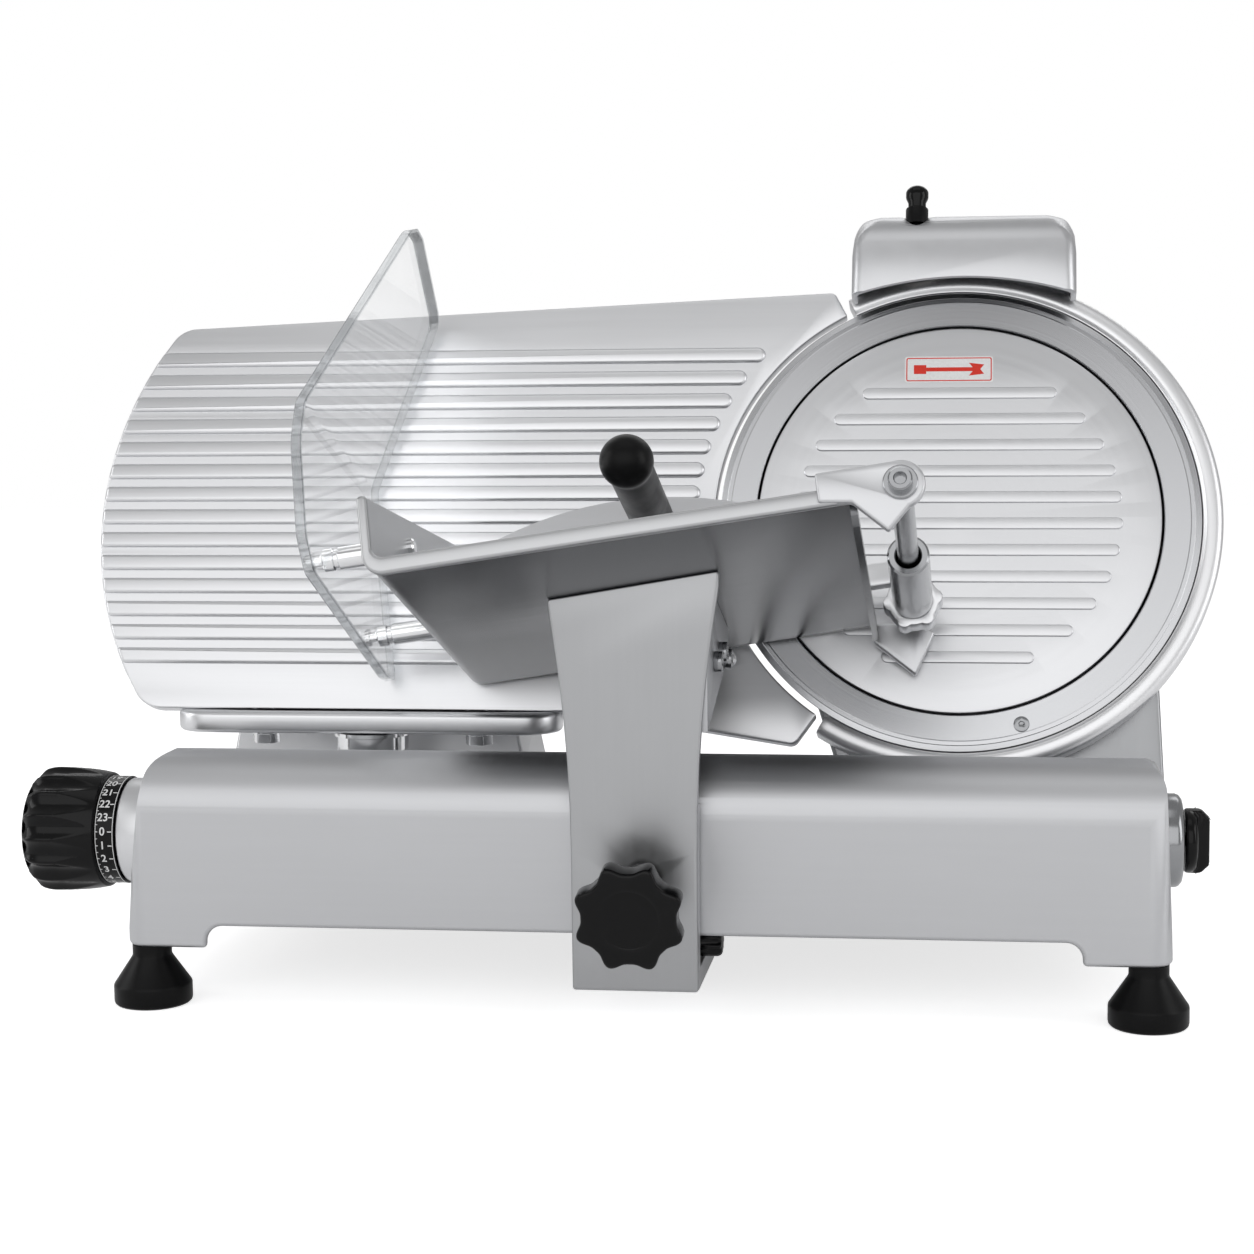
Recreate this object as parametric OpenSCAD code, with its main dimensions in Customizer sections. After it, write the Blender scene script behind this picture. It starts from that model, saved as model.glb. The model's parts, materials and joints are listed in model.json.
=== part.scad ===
// Gravity-feed electric food slicer with a leaning round blade, a sliding tray and a thickness dial.
// X runs along the base to the right, Y away from the operator, Z up, and the feet stand on Z = 0.

/* [Blade] */
// Diameter of the round blade
blade_d = 250; // [236:1:256]
// Thickness of the blade's dished centre
blade_t = 3; // [2:0.5:4]
// Width of the ground bevel at the blade's rim
bevel_w = 3; // [2:0.5:5]
// Lean of the blade plane from the vertical, in degrees
lean = 20.5; // [19:0.25:22]
// Blade axis, to the right of the reference line
blade_x = 172; // [165:1:180]
// Blade centre, behind the front face of the base
blade_y = 150; // [146:1:156]
// Blade centre, above the table
blade_z = 231; // [226:1:236]
// Diameter of the round cover over the blade's centre
cover_d = 210; // [195:1:214]
// Thickness of the blade cover
cover_t = 4.3; // [3:0.1:5]
// Ribs across the blade cover
cover_ribs = 11; // [7:1:13]
// Spacing of the ribs on the blade cover
cover_rib_pitch = 14.35; // [12:0.05:15]
// Width of one rib on the blade cover
cover_rib_w = 6; // [4:0.5:9]
// Width of the round guard band outside the blade
guard_band_w = 9.5; // [7:0.5:12]

/* [Base] */
// Left end of the base, from the reference line
base_left = -232; // [-240:1:-228]
// Length of the base
base_len = 506; // [500:1:514]
// Depth of the base from front to back
base_depth = 268; // [262:1:274]
// Depth of the tall front rail
rail_d = 72; // [71:1:76]
// Top of the front rail above the table
rail_top = 124; // [121:1:127]
// Top of the low rear deck above the table
deck_top = 58; // [55:1:60]
// Underside of the end legs above the table
leg_z = 30; // [27:1:32]
// Underside of the front wall between the legs
arch_z = 41; // [39:1:44]
// Width of each leg at the front
leg_w = 42; // [38:1:46]
// Wall of the casting
wall = 5; // [4:0.5:6]
// Radius rolled along the front top edge
front_roll = 28; // [20:1:34]
// Fall of the rail's top behind the roll, in degrees
rail_slope = 20; // [14:1:26]
// Inset of the left end at the top
left_draft = 11; // [6:1:14]
// Inset of the right end at the top
right_draft = 4; // [2:1:8]

/* [Feet] */
// Diameter of a rubber foot
foot_d = 38; // [34:1:42]
// Diameter of a foot's neck
foot_neck_d = 19; // [17:1:24]
// Height of a foot's straight rim
foot_rim_h = 10; // [6:1:12]
// Inset of a front foot from the ends and the front of the base
foot_inset = 11; // [10:0.5:14]

/* [Gauge plate] */
// Thickness of the plate behind its ribs
gauge_t = 8; // [6:0.5:9]
// Height of the ribs on the plate
gauge_rib_h = 2; // [1:0.25:3]
// Ribs on the plate
gauge_ribs = 14; // [10:1:14]
// Spacing of the ribs on the plate
gauge_rib_pitch = 12.9; // [11:0.1:13.2]
// Width of one rib on the plate
gauge_rib_w = 8.2; // [6:0.1:9.5]
// Travel of the gauge plate, the thickest slice
gauge_travel = 12; // [8:0.5:12.5]
// Gap between the plate's hollow edge and the blade
gauge_gap = 3; // [2.5:0.5:4]
// Length of the plate's foot bar
bar_len = 207; // [190:1:215]
// Height of the plate's foot bar
bar_h = 11; // [9:0.5:12]
// Diameter of the polished post that carries the plate
post_d = 38; // [32:1:42]

/* [Thickness dial] */
// Diameter of the dial's grip
dial_d = 63; // [56:1:66]
// Length of the dial's grip
dial_grip_l = 38; // [34:1:42]
// Finger scallops round the grip
dial_scallops = 16; // [12:1:20]
// Diameter of the numbered ring and of the collar
dial_ring_d = 54; // [48:1:58]
// Length of the numbered ring
dial_ring_l = 10; // [8:1:13]
// Length of the silver collar
collar_l = 7; // [5:1:10]
// Height of the dial's axis above the table
dial_z = 81; // [79:0.5:84]
// Turn of the dial from closed to fully open, in degrees
dial_turn = 330; // [300:5:340]

/* [Carriage] */
// Middle of the carriage arm at rest, from the reference line
arm_x = 24; // [20:1:28]
// Width of the arm at its top
arm_top_w = 82; // [76:1:90]
// Width of the arm at its foot
arm_foot_w = 60; // [56:1:66]
// Thickness of the arm's plate
arm_t = 5; // [4:0.5:5.5]
// Underside of the carriage above the table
carriage_z = 17; // [14:0.5:19]
// Diameter of the slide rod
slide_d = 14; // [12:0.5:15]
// Height of the slide rod's axis above the table
slide_z = 44; // [43:0.5:45]
// Depth of the slide rod behind the front of the base
slide_y = 38; // [37:0.5:39]
// Diameter of the star knob over its lobes
star_d = 52; // [46:1:56]
// Lobes on the star knob
star_lobes = 8; // [6:1:9]
// Thickness of the star knob
star_t = 12; // [9:0.5:15]
// Height of the star knob's axis at the arm
star_z = 70.5; // [68:0.5:74]

/* [Tray] */
// Roll of the tray, its right end up, in degrees
tray_roll = 9; // [8:0.25:10]
// Width of the tray along its rim
tray_w = 212; // [204:1:216]
// Depth of the tray from the rim to the blade
tray_depth = 224; // [218:1:228]
// Sheet thickness of the tray
tray_t = 3; // [2:0.25:3.5]
// Height of the left wall at the rim
wall_front_h = 31; // [26:1:36]
// Height of the left wall near the blade
wall_back_h = 70; // [64:1:74]

/* [Pusher] */
// Diameter of the pusher's rod
pusher_rod_d = 10; // [9:0.25:11]
// Diameter of the sliding sleeve where the arm turns on it
sleeve_d = 16; // [15:0.5:17]
// Length of the sliding sleeve
sleeve_l = 98; // [90:1:102]
// Thickness of the pusher plate
pusher_t = 5; // [3:0.5:6]
// Diameter of the pusher's grip
grip_d = 22; // [20:0.5:25]
// Length of the grip's straight part
grip_l = 104; // [95:1:110]

/* [Clear guard] */
// Thickness of the clear guard
clear_t = 5; // [3:0.5:6]
// Bend of the guard's upper half towards the food, in degrees
clear_bend = 25; // [22:0.5:26]
// Height of the bend above the guard's foot
clear_low_h = 106; // [100:1:110]
// Height of the guard above its bend
clear_up_h = 120; // [110:1:124]

/* [Drive] */
// Diameter of the blade's belt pulley
pulley_d = 84; // [78:1:90]
// Diameter of the motor's belt pulley
pinion_d = 18; // [16:1:20]
// Distance from the blade axis down to the motor axis
motor_drop = 72; // [70:0.5:73]
// Diameter of the motor's stator
motor_d = 88; // [80:1:90]
// Length of the motor's stator
motor_l = 58; // [50:1:62]

/* [Sharpener] */
// Width of the sharpener housing
sharp_w = 118; // [110:1:124]
// Travel of the sharpener button
button_travel = 2.5; // [2:0.25:3]
// Diameter of the sharpener button
button_d = 12; // [10:0.5:13]

/* [Switch] */
// Diameter of the switch's bezel
bezel_d = 45; // [40:1:48]
// Diameter of the switch knob
switch_d = 31; // [28:1:34]

/* [Clearances] */
// Radial clearance of a running shaft
run_fit = 0.05; // [0.03:0.01:0.08]
// Radial clearance round a fixed screw or pin
loose_fit = 0.1; // [0.05:0.05:0.2]
// Gap between pieces that pass each other
pass_gap = 0.3; // [0.2:0.1:0.5]

/* [Hidden] */
$fn = 64;

silver = "#b9babd";
pale_silver = "#d3d4d7";
steel = "#c9cbcf";
chrome = "#dfe1e4";
black = "#1b1b1d";
dark = "#4a4b4e";
clear = [0.85, 0.9, 0.92, 0.35];
hair = 0.01;
far = 1000;

// Blade and its guard, in the blade's own frame: x along X, y up the lean, z towards the operator
blade_r = blade_d / 2;
cover_r = cover_d / 2;
edge_n = -0.3;
cover_front = -0.5;
cover_rib_h = 1;
cover_rib_zone = cover_r - 23;
cover_rib_first = 68;
recess = cover_t + 1.7;
recess_r = cover_r + 1.2;
blade_back = recess + blade_t;
rim_w = blade_r - recess_r;
guard_in_r = blade_r + 1.5;
guard_out_r = guard_in_r + guard_band_w;
ledge_n = edge_n - blade_t - 0.8;
guard_from = -122;
guard_to = 116;
web_t = 3.5;
web_back = -16;
web_in_r = 88;
spindle_d = 17;
spindle_bore_d = 7.2;
tie_d = 6;
hub_bore_d = 32;
hub_flange_r = 32;
hub_flange_t = 7;
blade_bore_d = 36;
hub_screw_pcd = 51;
pulley_front = -22;
pulley_w = 16;
belt_t = 3;
house_back = -62;
house_wall = 4;
house_r = 100;
house_left = -50;
house_right = 106;
house_corner = 16;
house_drop = 178;
motor_cover_r = 50;
motor_flange_r = 58;
motor_bell_t = 10;
motor_shaft_d = 10;
fan_t = 8;
cover_chamfer = 3;
cover_wall = 3;
fan_n = house_back - motor_bell_t - motor_l - 6 - 2 - fan_t;
motor_end_n = fan_n - 4 - cover_wall;

// Ends of the whole object, which place its origin under the middle of its box
dial_left = base_left - collar_l - dial_ring_l - dial_grip_l;
object_right = blade_x + guard_out_r;
tray_left = -262;
tray_floor = -50;
tray_back = 4;
rim_h = 7;
rim_t = 3;
strip_h = 11;
strip_inset = 8;
tray_front = tray_back + tray_depth;
rim_low = tray_floor - tray_t - 3;
object_front = blade_y - (tray_front + rim_t) * cos(lean)
    + ((tray_left - tray_t) * sin(tray_roll) + rim_low * cos(tray_roll)) * sin(lean);
object_back = blade_y - motor_end_n * cos(lean)
    + (motor_cover_r - cover_chamfer - motor_drop) * sin(lean);
middle_y = (object_front + object_back) / 2;

// Base
base_right = base_left + base_len;
end_wall = 27;
hollow_left = base_left + end_wall;
hollow_right = base_right - end_wall;
rail_inner_back = rail_d - wall - 1;
edge_round = 12;
deck_inset = 10;
cover_sheet = 2;
boss_r = 6;
foot_h = leg_z;
foot_screw_d = 6;
rear_foot_y = base_depth - 20;
rear_foot_inset = 26;
feet_xy = [[base_left + foot_inset, foot_inset], [base_right - foot_inset, foot_inset],
    [base_left + rear_foot_inset, rear_foot_y], [base_right - rear_foot_inset, rear_foot_y]];
cover_boss_xy = [for (x = [base_left + 60, base_right - 60], y = [rail_d + 14, base_depth - 20]) [x, y]];
seat_depth = 4;

// Thickness setting: the dial's shaft, its scroll cam and the slider
dial_y = slide_y;
collar_right = base_left + seat_depth + left_draft;
cam_x = -186;
cam_t = 10;
cam_r = 26;
cam_groove = 5;
pin_d = 6;
pin_rest_r = 9.5;
guide_x = -136;
guide_d = 12;
post_y = 122;
index_left = -236;
index_right = -56;
index_step_y = 170;
index_back_y = 230;
index_low_top = 98;
index_top = 115;
index_wall = 4;
slider_z0 = 70;
slider_z1 = 92;
dome_d = 65;
dome_h = 9;
bar_z = 120;
bar_y0 = 104;
bar_d = 38;
bar_x0 = blade_x - 413;
bolt_x = [bar_x0 + 48, bar_x0 + 163];
bolt_y = 119;
bolt_d = 8;

// Gauge plate outline, in the blade's frame
plate_left_r = 185;
plate_left_x = -279.5;
// Left end of the whole object: the dial or the plate, whichever reaches further
object_left = min(dial_left, blade_x + plate_left_x - plate_left_r);
middle_x = (object_left + object_right) / 2;
plate_top_l = [-480, 107];
plate_top_r = [-67, 126.6];
plate_low = -105.5;
plate_hook = [-83, -122];
plate_hook_from = -190;
rib_first = 91;
rib_end_gap = 9;
rib_low_end = -100;
gauge_edge_r = blade_r + gauge_gap;

// Carriage: arm, foot and block
arm_front = -13.2;
arm_right_top = arm_x + arm_top_w / 2;
arm_left_top = arm_x - arm_top_w / 2;
arm_tall = 234;
arm_flare_z = 84;
arm_flare_h = 125;
foot_plate_h = 10;
foot_up_h = 106;
block_l = 48;
block_y0 = 12;
block_y1 = 54;
block_top = 58;
bush_l = 18;
bush_t = 2.4;
roller_r = 8;
roller_w = 8;
rail_strip_z = 60;
rail_strip_t = 4;
rail_strip_d = 10;
axle_d = 5;
lock_r = 8.7;
lock_t = 13;
lock_y = 18;
lock_z = 36;
star_tilt = 10;
star_bite = 4;
star_bite_r = 10.5;
star_stem_d = 20;
star_stem_l = 36;
stud_d = 8;
gusset_t = 4;
gusset_inset = 7;
gusset_y1 = 84;
gusset_low = 140;
gusset_back_low = 166;
gusset_bolts = [[20, 170], [42, 172], [64, 166]];
gusset_bolt_d = 6;

// Pusher and its rod, in the tray's own frame: x along the rim, y off the floor, z away from the blade
rod_x = tray_left + tray_w + 19.6;
rod_y = tray_floor - 2;
bracket_t = 6;
sleeve_n = 24;
hub_n = 28;
hub_l = 14;
hub_r = 15;
hub_lobes = 6;
shoulder_r = 10;
pusher_low = tray_floor + 2.5;
pusher_left = tray_left + 6;
pusher_right = tray_left + tray_w - 32;
pusher_top_r = 190;
pusher_top = 26;
arm_bar_low = tray_floor + 8;
arm_bar_h = 12;
grip_x = tray_left + 107;
grip_y = 10;
grip_stud_d = 6;
tooth_l = 6;
tooth_d = 5;

// Clear guard, in the tray's frame
clear_x = tray_left - 44;
clear_low = tray_floor + 5.5;
clear_knee = clear_low + clear_low_h;
clear_gap = 4;
clear_low_pts = [[clear_gap, 0], [24, -0.019], [160, 0.151], [170, 0.292], [166, 0.755], [150, 1]];
clear_up_pts = [[122, 0.49], [94, 0.965], [86, 1], [74, 1], [12, 0.86], [clear_gap, 0.82]];
spacer_d = 11;
spacers = [[140, tray_floor + 33], [36, tray_floor + 22]];

// Sharpener, in the blade's frame
sharp_left = 2 - sharp_w / 2;
sharp_right = sharp_left + sharp_w;
sharp_low = 118;
sharp_high = 168;
sharp_arch_top = 126;
sharp_arch_r = 179;
sharp_front = 20;
sharp_back = -36;
sharp_wall = 3;
sharp_slope = 15;
button_x = -23;
button_n = 10.5;
stem_d = 7;
stone_u = 144;
stone_r = 12;
stone_n0 = 1.6;
stone_t = 5;
stone_axle_d = 5;
seat_t = 1.5;
seat_r = 6;
seat_deep = 9;
cap_low = sharp_high + seat_t + button_travel + 0.5;
cap_h = 8.5;

// Switch on the right end
switch_y = 45;
switch_z = 82;
bezel_t = 6;
bezel_seat = base_right - right_draft - seat_depth;
knob_gap = 1;
knob_l = 12;
switch_shaft_d = 6;
switch_case = [32, 30, 34];

// Whole object with its origin on the table, under the middle of its box
module in_frame() translate([-middle_x, -middle_y, 0]) children();

module blade_frame() in_frame() translate([blade_x, blade_y, blade_z]) rotate([90 - lean, 0, 0])
    children();

module tray_frame() blade_frame() rotate([0, 0, tray_roll]) children();

// Turned shape about the z axis, from a profile of radius and height
module turned(profile) rotate_extrude($fn = 128) polygon(profile);

// Ring between two radii, from one height up
module ring(r_out, r_in, from, height) translate([0, 0, from]) difference() {
    cylinder(r = r_out, h = height, $fn = 96);
    translate([0, 0, -1]) cylinder(r = r_in, h = height + 2, $fn = 96);
}

// Outline extruded along X from x, with its own x along Y and its y along Z
module along_x(x, length) translate([x, 0, 0]) rotate([90, 0, 90]) linear_extrude(length) children();

// Outline extruded along Y from y, with its own x along X and its y along Z
module along_y(y, length) translate([0, y + length, 0]) rotate([90, 0, 0]) linear_extrude(length)
    children();

// Outline extruded along x in a leaning frame, with its own x along z and its y along y
module side_on(x, length) translate([x, 0, 0]) rotate([0, -90, 0]) mirror([0, 0, 1])
    linear_extrude(length) children();

// Piece cut away to round an outer corner, for a corner that opens towards sx and sy
module corner_cut(x, y, r, sx, sy) translate([x, y]) difference() {
    translate([sx > 0 ? -r : -1, sy > 0 ? -r : -1]) square(r + 1);
    translate([-sx * r, -sy * r]) circle(r);
}

// Screw with a round head: the head sits above z = 0 and the shank below it
module screw(d, length, head_d, head_h) {
    translate([0, 0, -length]) cylinder(d = d, h = length);
    difference() {
        cylinder(d = head_d, h = head_h);
        translate([0, 0, head_h / 2]) cylinder(d = d * 0.75, h = head_h, $fn = 6);
    }
}

module screw_hole(d, length) translate([0, 0, -length]) cylinder(d = d + 2 * loose_fit, h = length + 1);

module at_feet() for (p = feet_xy) translate([p[0], p[1], 0]) children();

module at_cover_bosses() for (p = cover_boss_xy) translate([p[0], p[1], leg_z + 0.5])
    rotate([180, 0, 0]) children();

module at_motor_screws() for (a = [45 : 90 : 315]) translate([0, -motor_drop, house_back - house_wall])
    rotate([0, 0, a]) translate([motor_flange_r - 3.6, 0, 0]) rotate([180, 0, 0]) children();

module at_web_screws() for (a = [-100, -40, 20]) rotate([0, 0, a])
    translate([94, 0, web_back + web_t]) children();

// Base casting

// Section of the rail: the front roll runs on into a top that falls to the rear
module rail_side(inset, low, back) {
    r = front_roll - inset;
    axis = [front_roll, rail_top - front_roll];
    crest = axis + r * [sin(rail_slope), cos(rail_slope)];
    translate(axis) circle(r);
    polygon([[inset, low], [back, low], [back, crest[1] - (back - crest[0]) * tan(rail_slope)], crest,
        axis, [inset, axis[1]]]);
}

module base_side() difference() {
    union() {
        rail_side(0, leg_z, rail_d);
        translate([rail_d - 1, leg_z]) square([base_depth - rail_d + 1, deck_top - leg_z]);
    }
    corner_cut(base_depth, deck_top, edge_round, 1, 1);
}

module base_front() hull() {
    translate([base_left, leg_z]) square([base_len, 1]);
    for (x = [base_left + left_draft + edge_round, base_right - right_draft - edge_round])
        translate([x, rail_top - edge_round]) circle(edge_round, $fn = 32);
}

module base_plan() hull() for (x = [base_left + edge_round, base_right - edge_round],
    y = [edge_round, base_depth - edge_round]) translate([x, y]) circle(edge_round, $fn = 32);

module arch_cut() difference() {
    translate([base_left + leg_w, -1]) square([base_len - 2 * leg_w, arch_z + 1]);
    corner_cut(base_left + leg_w, arch_z, 8, -1, 1);
    corner_cut(base_right - leg_w, arch_z, 8, 1, 1);
}

module base_casting() color(silver) in_frame() difference() {
    union() {
        difference() {
            intersection() {
                along_x(base_left, base_len) base_side();
                along_y(0, base_depth) base_front();
                linear_extrude(rail_top) base_plan();
            }
            along_x(hollow_left, hollow_right - hollow_left) rail_side(wall, 0, rail_inner_back);
            translate([base_left + deck_inset, rail_d, 0])
                cube([base_len - 2 * deck_inset, base_depth - rail_d - wall, deck_top - 4]);
            along_y(-1, wall + 2) arch_cut();
        }
        for (i = [2, 3]) translate([feet_xy[i][0], feet_xy[i][1], leg_z])
            cylinder(r = boss_r + 3, h = deck_top - leg_z - 2);
        for (p = cover_boss_xy) translate([p[0], p[1], leg_z + 0.5 + cover_sheet])
            cylinder(r = boss_r, h = deck_top - leg_z - cover_sheet - 2);
    }
    at_feet() translate([0, 0, leg_z + 14]) screw_hole(foot_screw_d, 20);
    at_cover_bosses() screw_hole(4, 14);
    translate([base_left - 1, dial_y, dial_z]) rotate([0, 90, 0]) {
        cylinder(d = dial_ring_d - 2 + 2 * loose_fit, h = 1 + seat_depth + left_draft);
        cylinder(d = 20, h = 60);
    }
    translate([bezel_seat, switch_y, switch_z]) rotate([0, 90, 0]) {
        cylinder(d = bezel_d + 2 * loose_fit, h = 40);
        translate([0, 0, -60]) cylinder(d = 14, h = 80);
    }
    translate([hollow_left - 8, slide_y, slide_z]) rotate([0, 90, 0])
        cylinder(d = slide_d + 2 * loose_fit, h = hollow_right - hollow_left + 16);
    translate([guide_x, rail_inner_back - 1, dial_z]) rotate([-90, 0, 0])
        cylinder(d = guide_d + 2 * loose_fit, h = rail_d);
    translate([cam_x + cam_t + 4, rail_inner_back - 1, slider_z0])
        cube([30, rail_d, slider_z1 - slider_z0 + 2]);
    gland_place() translate([0, 0, -wall - 1]) cylinder(d = 14 + 2 * loose_fit, h = wall + 2);
}

module gland_place() translate([base_right - 74, base_depth, (leg_z + deck_top) / 2])
    rotate([-90, 0, 0]) children();

module bottom_cover() color(dark) in_frame() difference() {
    translate([base_left + deck_inset + 0.5, rail_d + 0.5, leg_z + 0.5])
        cube([base_len - 2 * deck_inset - 1, base_depth - rail_d - wall - 1, cover_sheet]);
    for (i = [2, 3]) translate([feet_xy[i][0], feet_xy[i][1], 0]) cylinder(r = boss_r + 3.5, h = 60);
    at_cover_bosses() screw_hole(4, 14);
}

module feet() color(black) in_frame() at_feet() difference() {
    turned([[0, 0], [foot_d / 2 - 1, 0], [foot_d / 2, 1], [foot_d / 2, foot_rim_h],
        [foot_neck_d / 2, foot_h - 6],
        [foot_neck_d / 2, foot_h], [0, foot_h]]);
    translate([0, 0, -1]) cylinder(d = foot_screw_d + 2 * loose_fit, h = foot_h + 2);
    translate([0, 0, -1]) cylinder(d = foot_screw_d * 2, h = 13);
}

module slide_rod() color(chrome) in_frame() translate([hollow_left - 7.5, slide_y, slide_z])
    rotate([0, 90, 0])
    cylinder(d = slide_d, h = hollow_right - hollow_left + 15);

module guide_rail() color(steel) in_frame()
    translate([cam_x + cam_t + 12, rail_inner_back - rail_strip_d, rail_strip_z])
    cube([hollow_right - cam_x - cam_t - 12, rail_strip_d, rail_strip_t]);

// Thickness setting

module index_housing() color(pale_silver) in_frame() difference() {
    index_block(0);
    index_block(index_wall);
    translate([guide_x - post_d / 2 - 1.5, post_y - post_d / 2 - 1.5, index_low_top - index_wall - 1])
        cube([post_d + 3, post_d + gauge_travel + 3, index_wall + 2]);
    translate([guide_x, rail_d, dial_z]) rotate([-90, 0, 0])
        cylinder(d = guide_d + 2 * loose_fit, h = index_back_y - rail_d - 1);
    translate([cam_x + cam_t + 4, rail_d - 1, slider_z0])
        cube([60, index_wall + 2, slider_z1 - slider_z0 + 2]);
}

// Two-step cover with sloping ends: its outer form, or its hollow when inset by a wall
module index_block(inset) intersection() {
    along_x(index_left, index_right - index_left) {
        translate([rail_d + inset, deck_top - inset])
            square([index_back_y - rail_d - 2 * inset, index_low_top - deck_top]);
        translate([index_step_y + inset, deck_top - inset])
            square([index_back_y - index_step_y - 2 * inset, index_top - deck_top]);
    }
    along_y(rail_d, index_back_y - rail_d) polygon([[index_left + inset, deck_top - inset],
        [index_right - inset, deck_top - inset], [index_right - 12 - inset, index_top + 1],
        [index_left + 12 + inset, index_top + 1]]);
}

module guide_shaft() color(chrome) in_frame() translate([guide_x, rail_inner_back, dial_z])
    rotate([-90, 0, 0])
    cylinder(d = guide_d, h = index_back_y - rail_inner_back - 1.5);

module slider_block() color(dark) in_frame() {
    difference() {
        translate([guide_x - 16, post_y - 30, slider_z0]) cube([32, 52, slider_z1 - slider_z0]);
        translate([guide_x, 0, dial_z]) rotate([-90, 0, 0])
            cylinder(d = guide_d + 2 * run_fit, h = index_back_y);
    }
    translate([cam_x + cam_t + 6, dial_y + pin_rest_r - 4, dial_z - 5])
        cube([guide_x - 16 - cam_x - cam_t - 6, post_y - dial_y - pin_rest_r - 10, 10]);
    translate([cam_x + cam_t - cam_groove + 0.5, dial_y + pin_rest_r, dial_z]) rotate([0, 90, 0])
        cylinder(d = pin_d, h = cam_groove + 6);
}

// Scroll groove: the pin lies at y = dial_y + pin_rest_r and moves back as the dial turns
function scroll(from, to, side) = [for (i = [0 : 36])
    let (turn = from + (to - from) * i / 36, r = pin_rest_r + gauge_travel * turn / dial_turn + side)
    r * [cos(-turn), sin(-turn)]];

module scroll_groove() {
    half = pin_d / 2 + pass_gap;
    polygon(concat(scroll(0, dial_turn, half), scroll(dial_turn, 0, -half)));
    translate([pin_rest_r, 0]) circle(half);
    rotate(-dial_turn) translate([pin_rest_r + gauge_travel, 0]) circle(half);
}

module index_cam() color(steel) in_frame() translate([0, dial_y, dial_z]) difference() {
    along_x(cam_x, cam_t) difference() {
        circle(cam_r);
        circle(d = motor_shaft_d + 2 * loose_fit);
    }
    along_x(cam_x + cam_t - cam_groove, cam_groove + 1) scroll_groove();
}

module dial_shaft() color(steel) in_frame() translate([dial_left + 6, dial_y, dial_z]) rotate([0, 90, 0])
    cylinder(d = motor_shaft_d, h = cam_x + cam_t - cam_groove - 0.5 - dial_left - 6);

module dial_collar() color(pale_silver) in_frame() translate([base_left - collar_l, dial_y, dial_z])
    rotate([0, 90, 0])
    ring(dial_ring_d / 2 - 1, motor_shaft_d / 2 + run_fit, 0, collar_l + seat_depth + left_draft);

module dial_ring() color(black) in_frame() translate([dial_left + dial_grip_l, dial_y, dial_z])
    rotate([0, 90, 0])
    ring(dial_ring_d / 2, motor_shaft_d / 2 + loose_fit, 0, dial_ring_l - pass_gap);

module dial_grip() color(black) in_frame() translate([dial_left, dial_y, dial_z]) rotate([0, 90, 0])
    difference() {
    turned([[0, 0], [dial_d / 2 - 6, 0], [dial_d / 2 - 1.2, 5], [dial_d / 2, 12],
        [dial_d / 2 - 3, dial_grip_l], [0, dial_grip_l]]);
    for (i = [0 : dial_scallops - 1]) rotate([0, 0, i * 360 / dial_scallops])
        translate([dial_d / 2 + 2.2, 0, -1]) cylinder(r = 4, h = dial_grip_l + 2);
    translate([0, 0, 6]) cylinder(d = motor_shaft_d + 2 * loose_fit, h = dial_grip_l);
}

// Gauge plate

module plate_outline() difference() {
    intersection() {
        polygon([plate_top_l, plate_top_r, [0, 0], plate_hook, [plate_hook_from, plate_low],
            [plate_top_l[0], plate_low]]);
        union() {
            translate([plate_left_x, 0]) circle(plate_left_r, $fn = 128);
            translate([plate_left_x, -far / 2]) square(far);
        }
    }
    circle(gauge_edge_r, $fn = 128);
}

module gauge_plate() color(pale_silver) blade_frame() {
    translate([0, 0, -gauge_t - gauge_rib_h]) linear_extrude(gauge_t) plate_outline();
    for (i = [0 : gauge_ribs - 1]) translate([0, 0, -gauge_rib_h - hair])
        linear_extrude(gauge_rib_h + hair)
        difference() {
            intersection() {
                plate_outline();
                translate([plate_top_l[0], rib_first - i * gauge_rib_pitch - gauge_rib_w / 2])
                    square([far, gauge_rib_w]);
            }
            circle(gauge_edge_r + rib_end_gap, $fn = 128);
            translate([-gauge_edge_r, rib_low_end - far]) square(far);
        }
}

// Foot bar under the plate, with an upright flange behind the plate
module gauge_bracket() color(silver) {
    in_frame() difference() {
        translate([0, 0, bar_z]) linear_extrude(bar_h) bar_plan();
        for (x = bolt_x) translate([x, bolt_y, bar_z - 1])
            cylinder(d = bolt_d + 2 * loose_fit, h = bar_h + 2);
        blade_half(-gauge_t - gauge_rib_h);
    }
    difference() {
        blade_frame() translate([bar_x0 - blade_x + 40, plate_low - 8, -gauge_t - gauge_rib_h - 6])
            cube([bar_len - 80, 50, 6]);
        in_frame() translate([-far / 2, -far / 2, bar_z + bar_h - far]) cube(far);
    }
}

module bar_plan() hull() for (x = [bar_x0 + bar_d / 2, bar_x0 + bar_len - bar_d / 2])
    translate([x, bar_y0 + bar_d / 2]) circle(d = bar_d, $fn = 32);

// Space in front of a plane parallel to the blade, above the plate's lower edge
module blade_half(n) translate([blade_x, blade_y, blade_z]) rotate([90 - lean, 0, 0])
    translate([-far, plate_low, n]) cube(far);

module gauge_bolts() color(steel) in_frame() for (x = bolt_x) translate([x, bolt_y, bar_z]) {
    translate([0, 0, -1.6]) cylinder(d = bolt_d * 2, h = 1.6);
    translate([0, 0, -1.6 - 5.3]) cylinder(d = bolt_d * 1.8, h = 5.3, $fn = 6);
    cylinder(d = bolt_d, h = bar_h - 3);
}

module gauge_post() color(chrome) in_frame() translate([guide_x, post_y, slider_z1])
    cylinder(d = post_d, h = bar_z - slider_z1);

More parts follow.
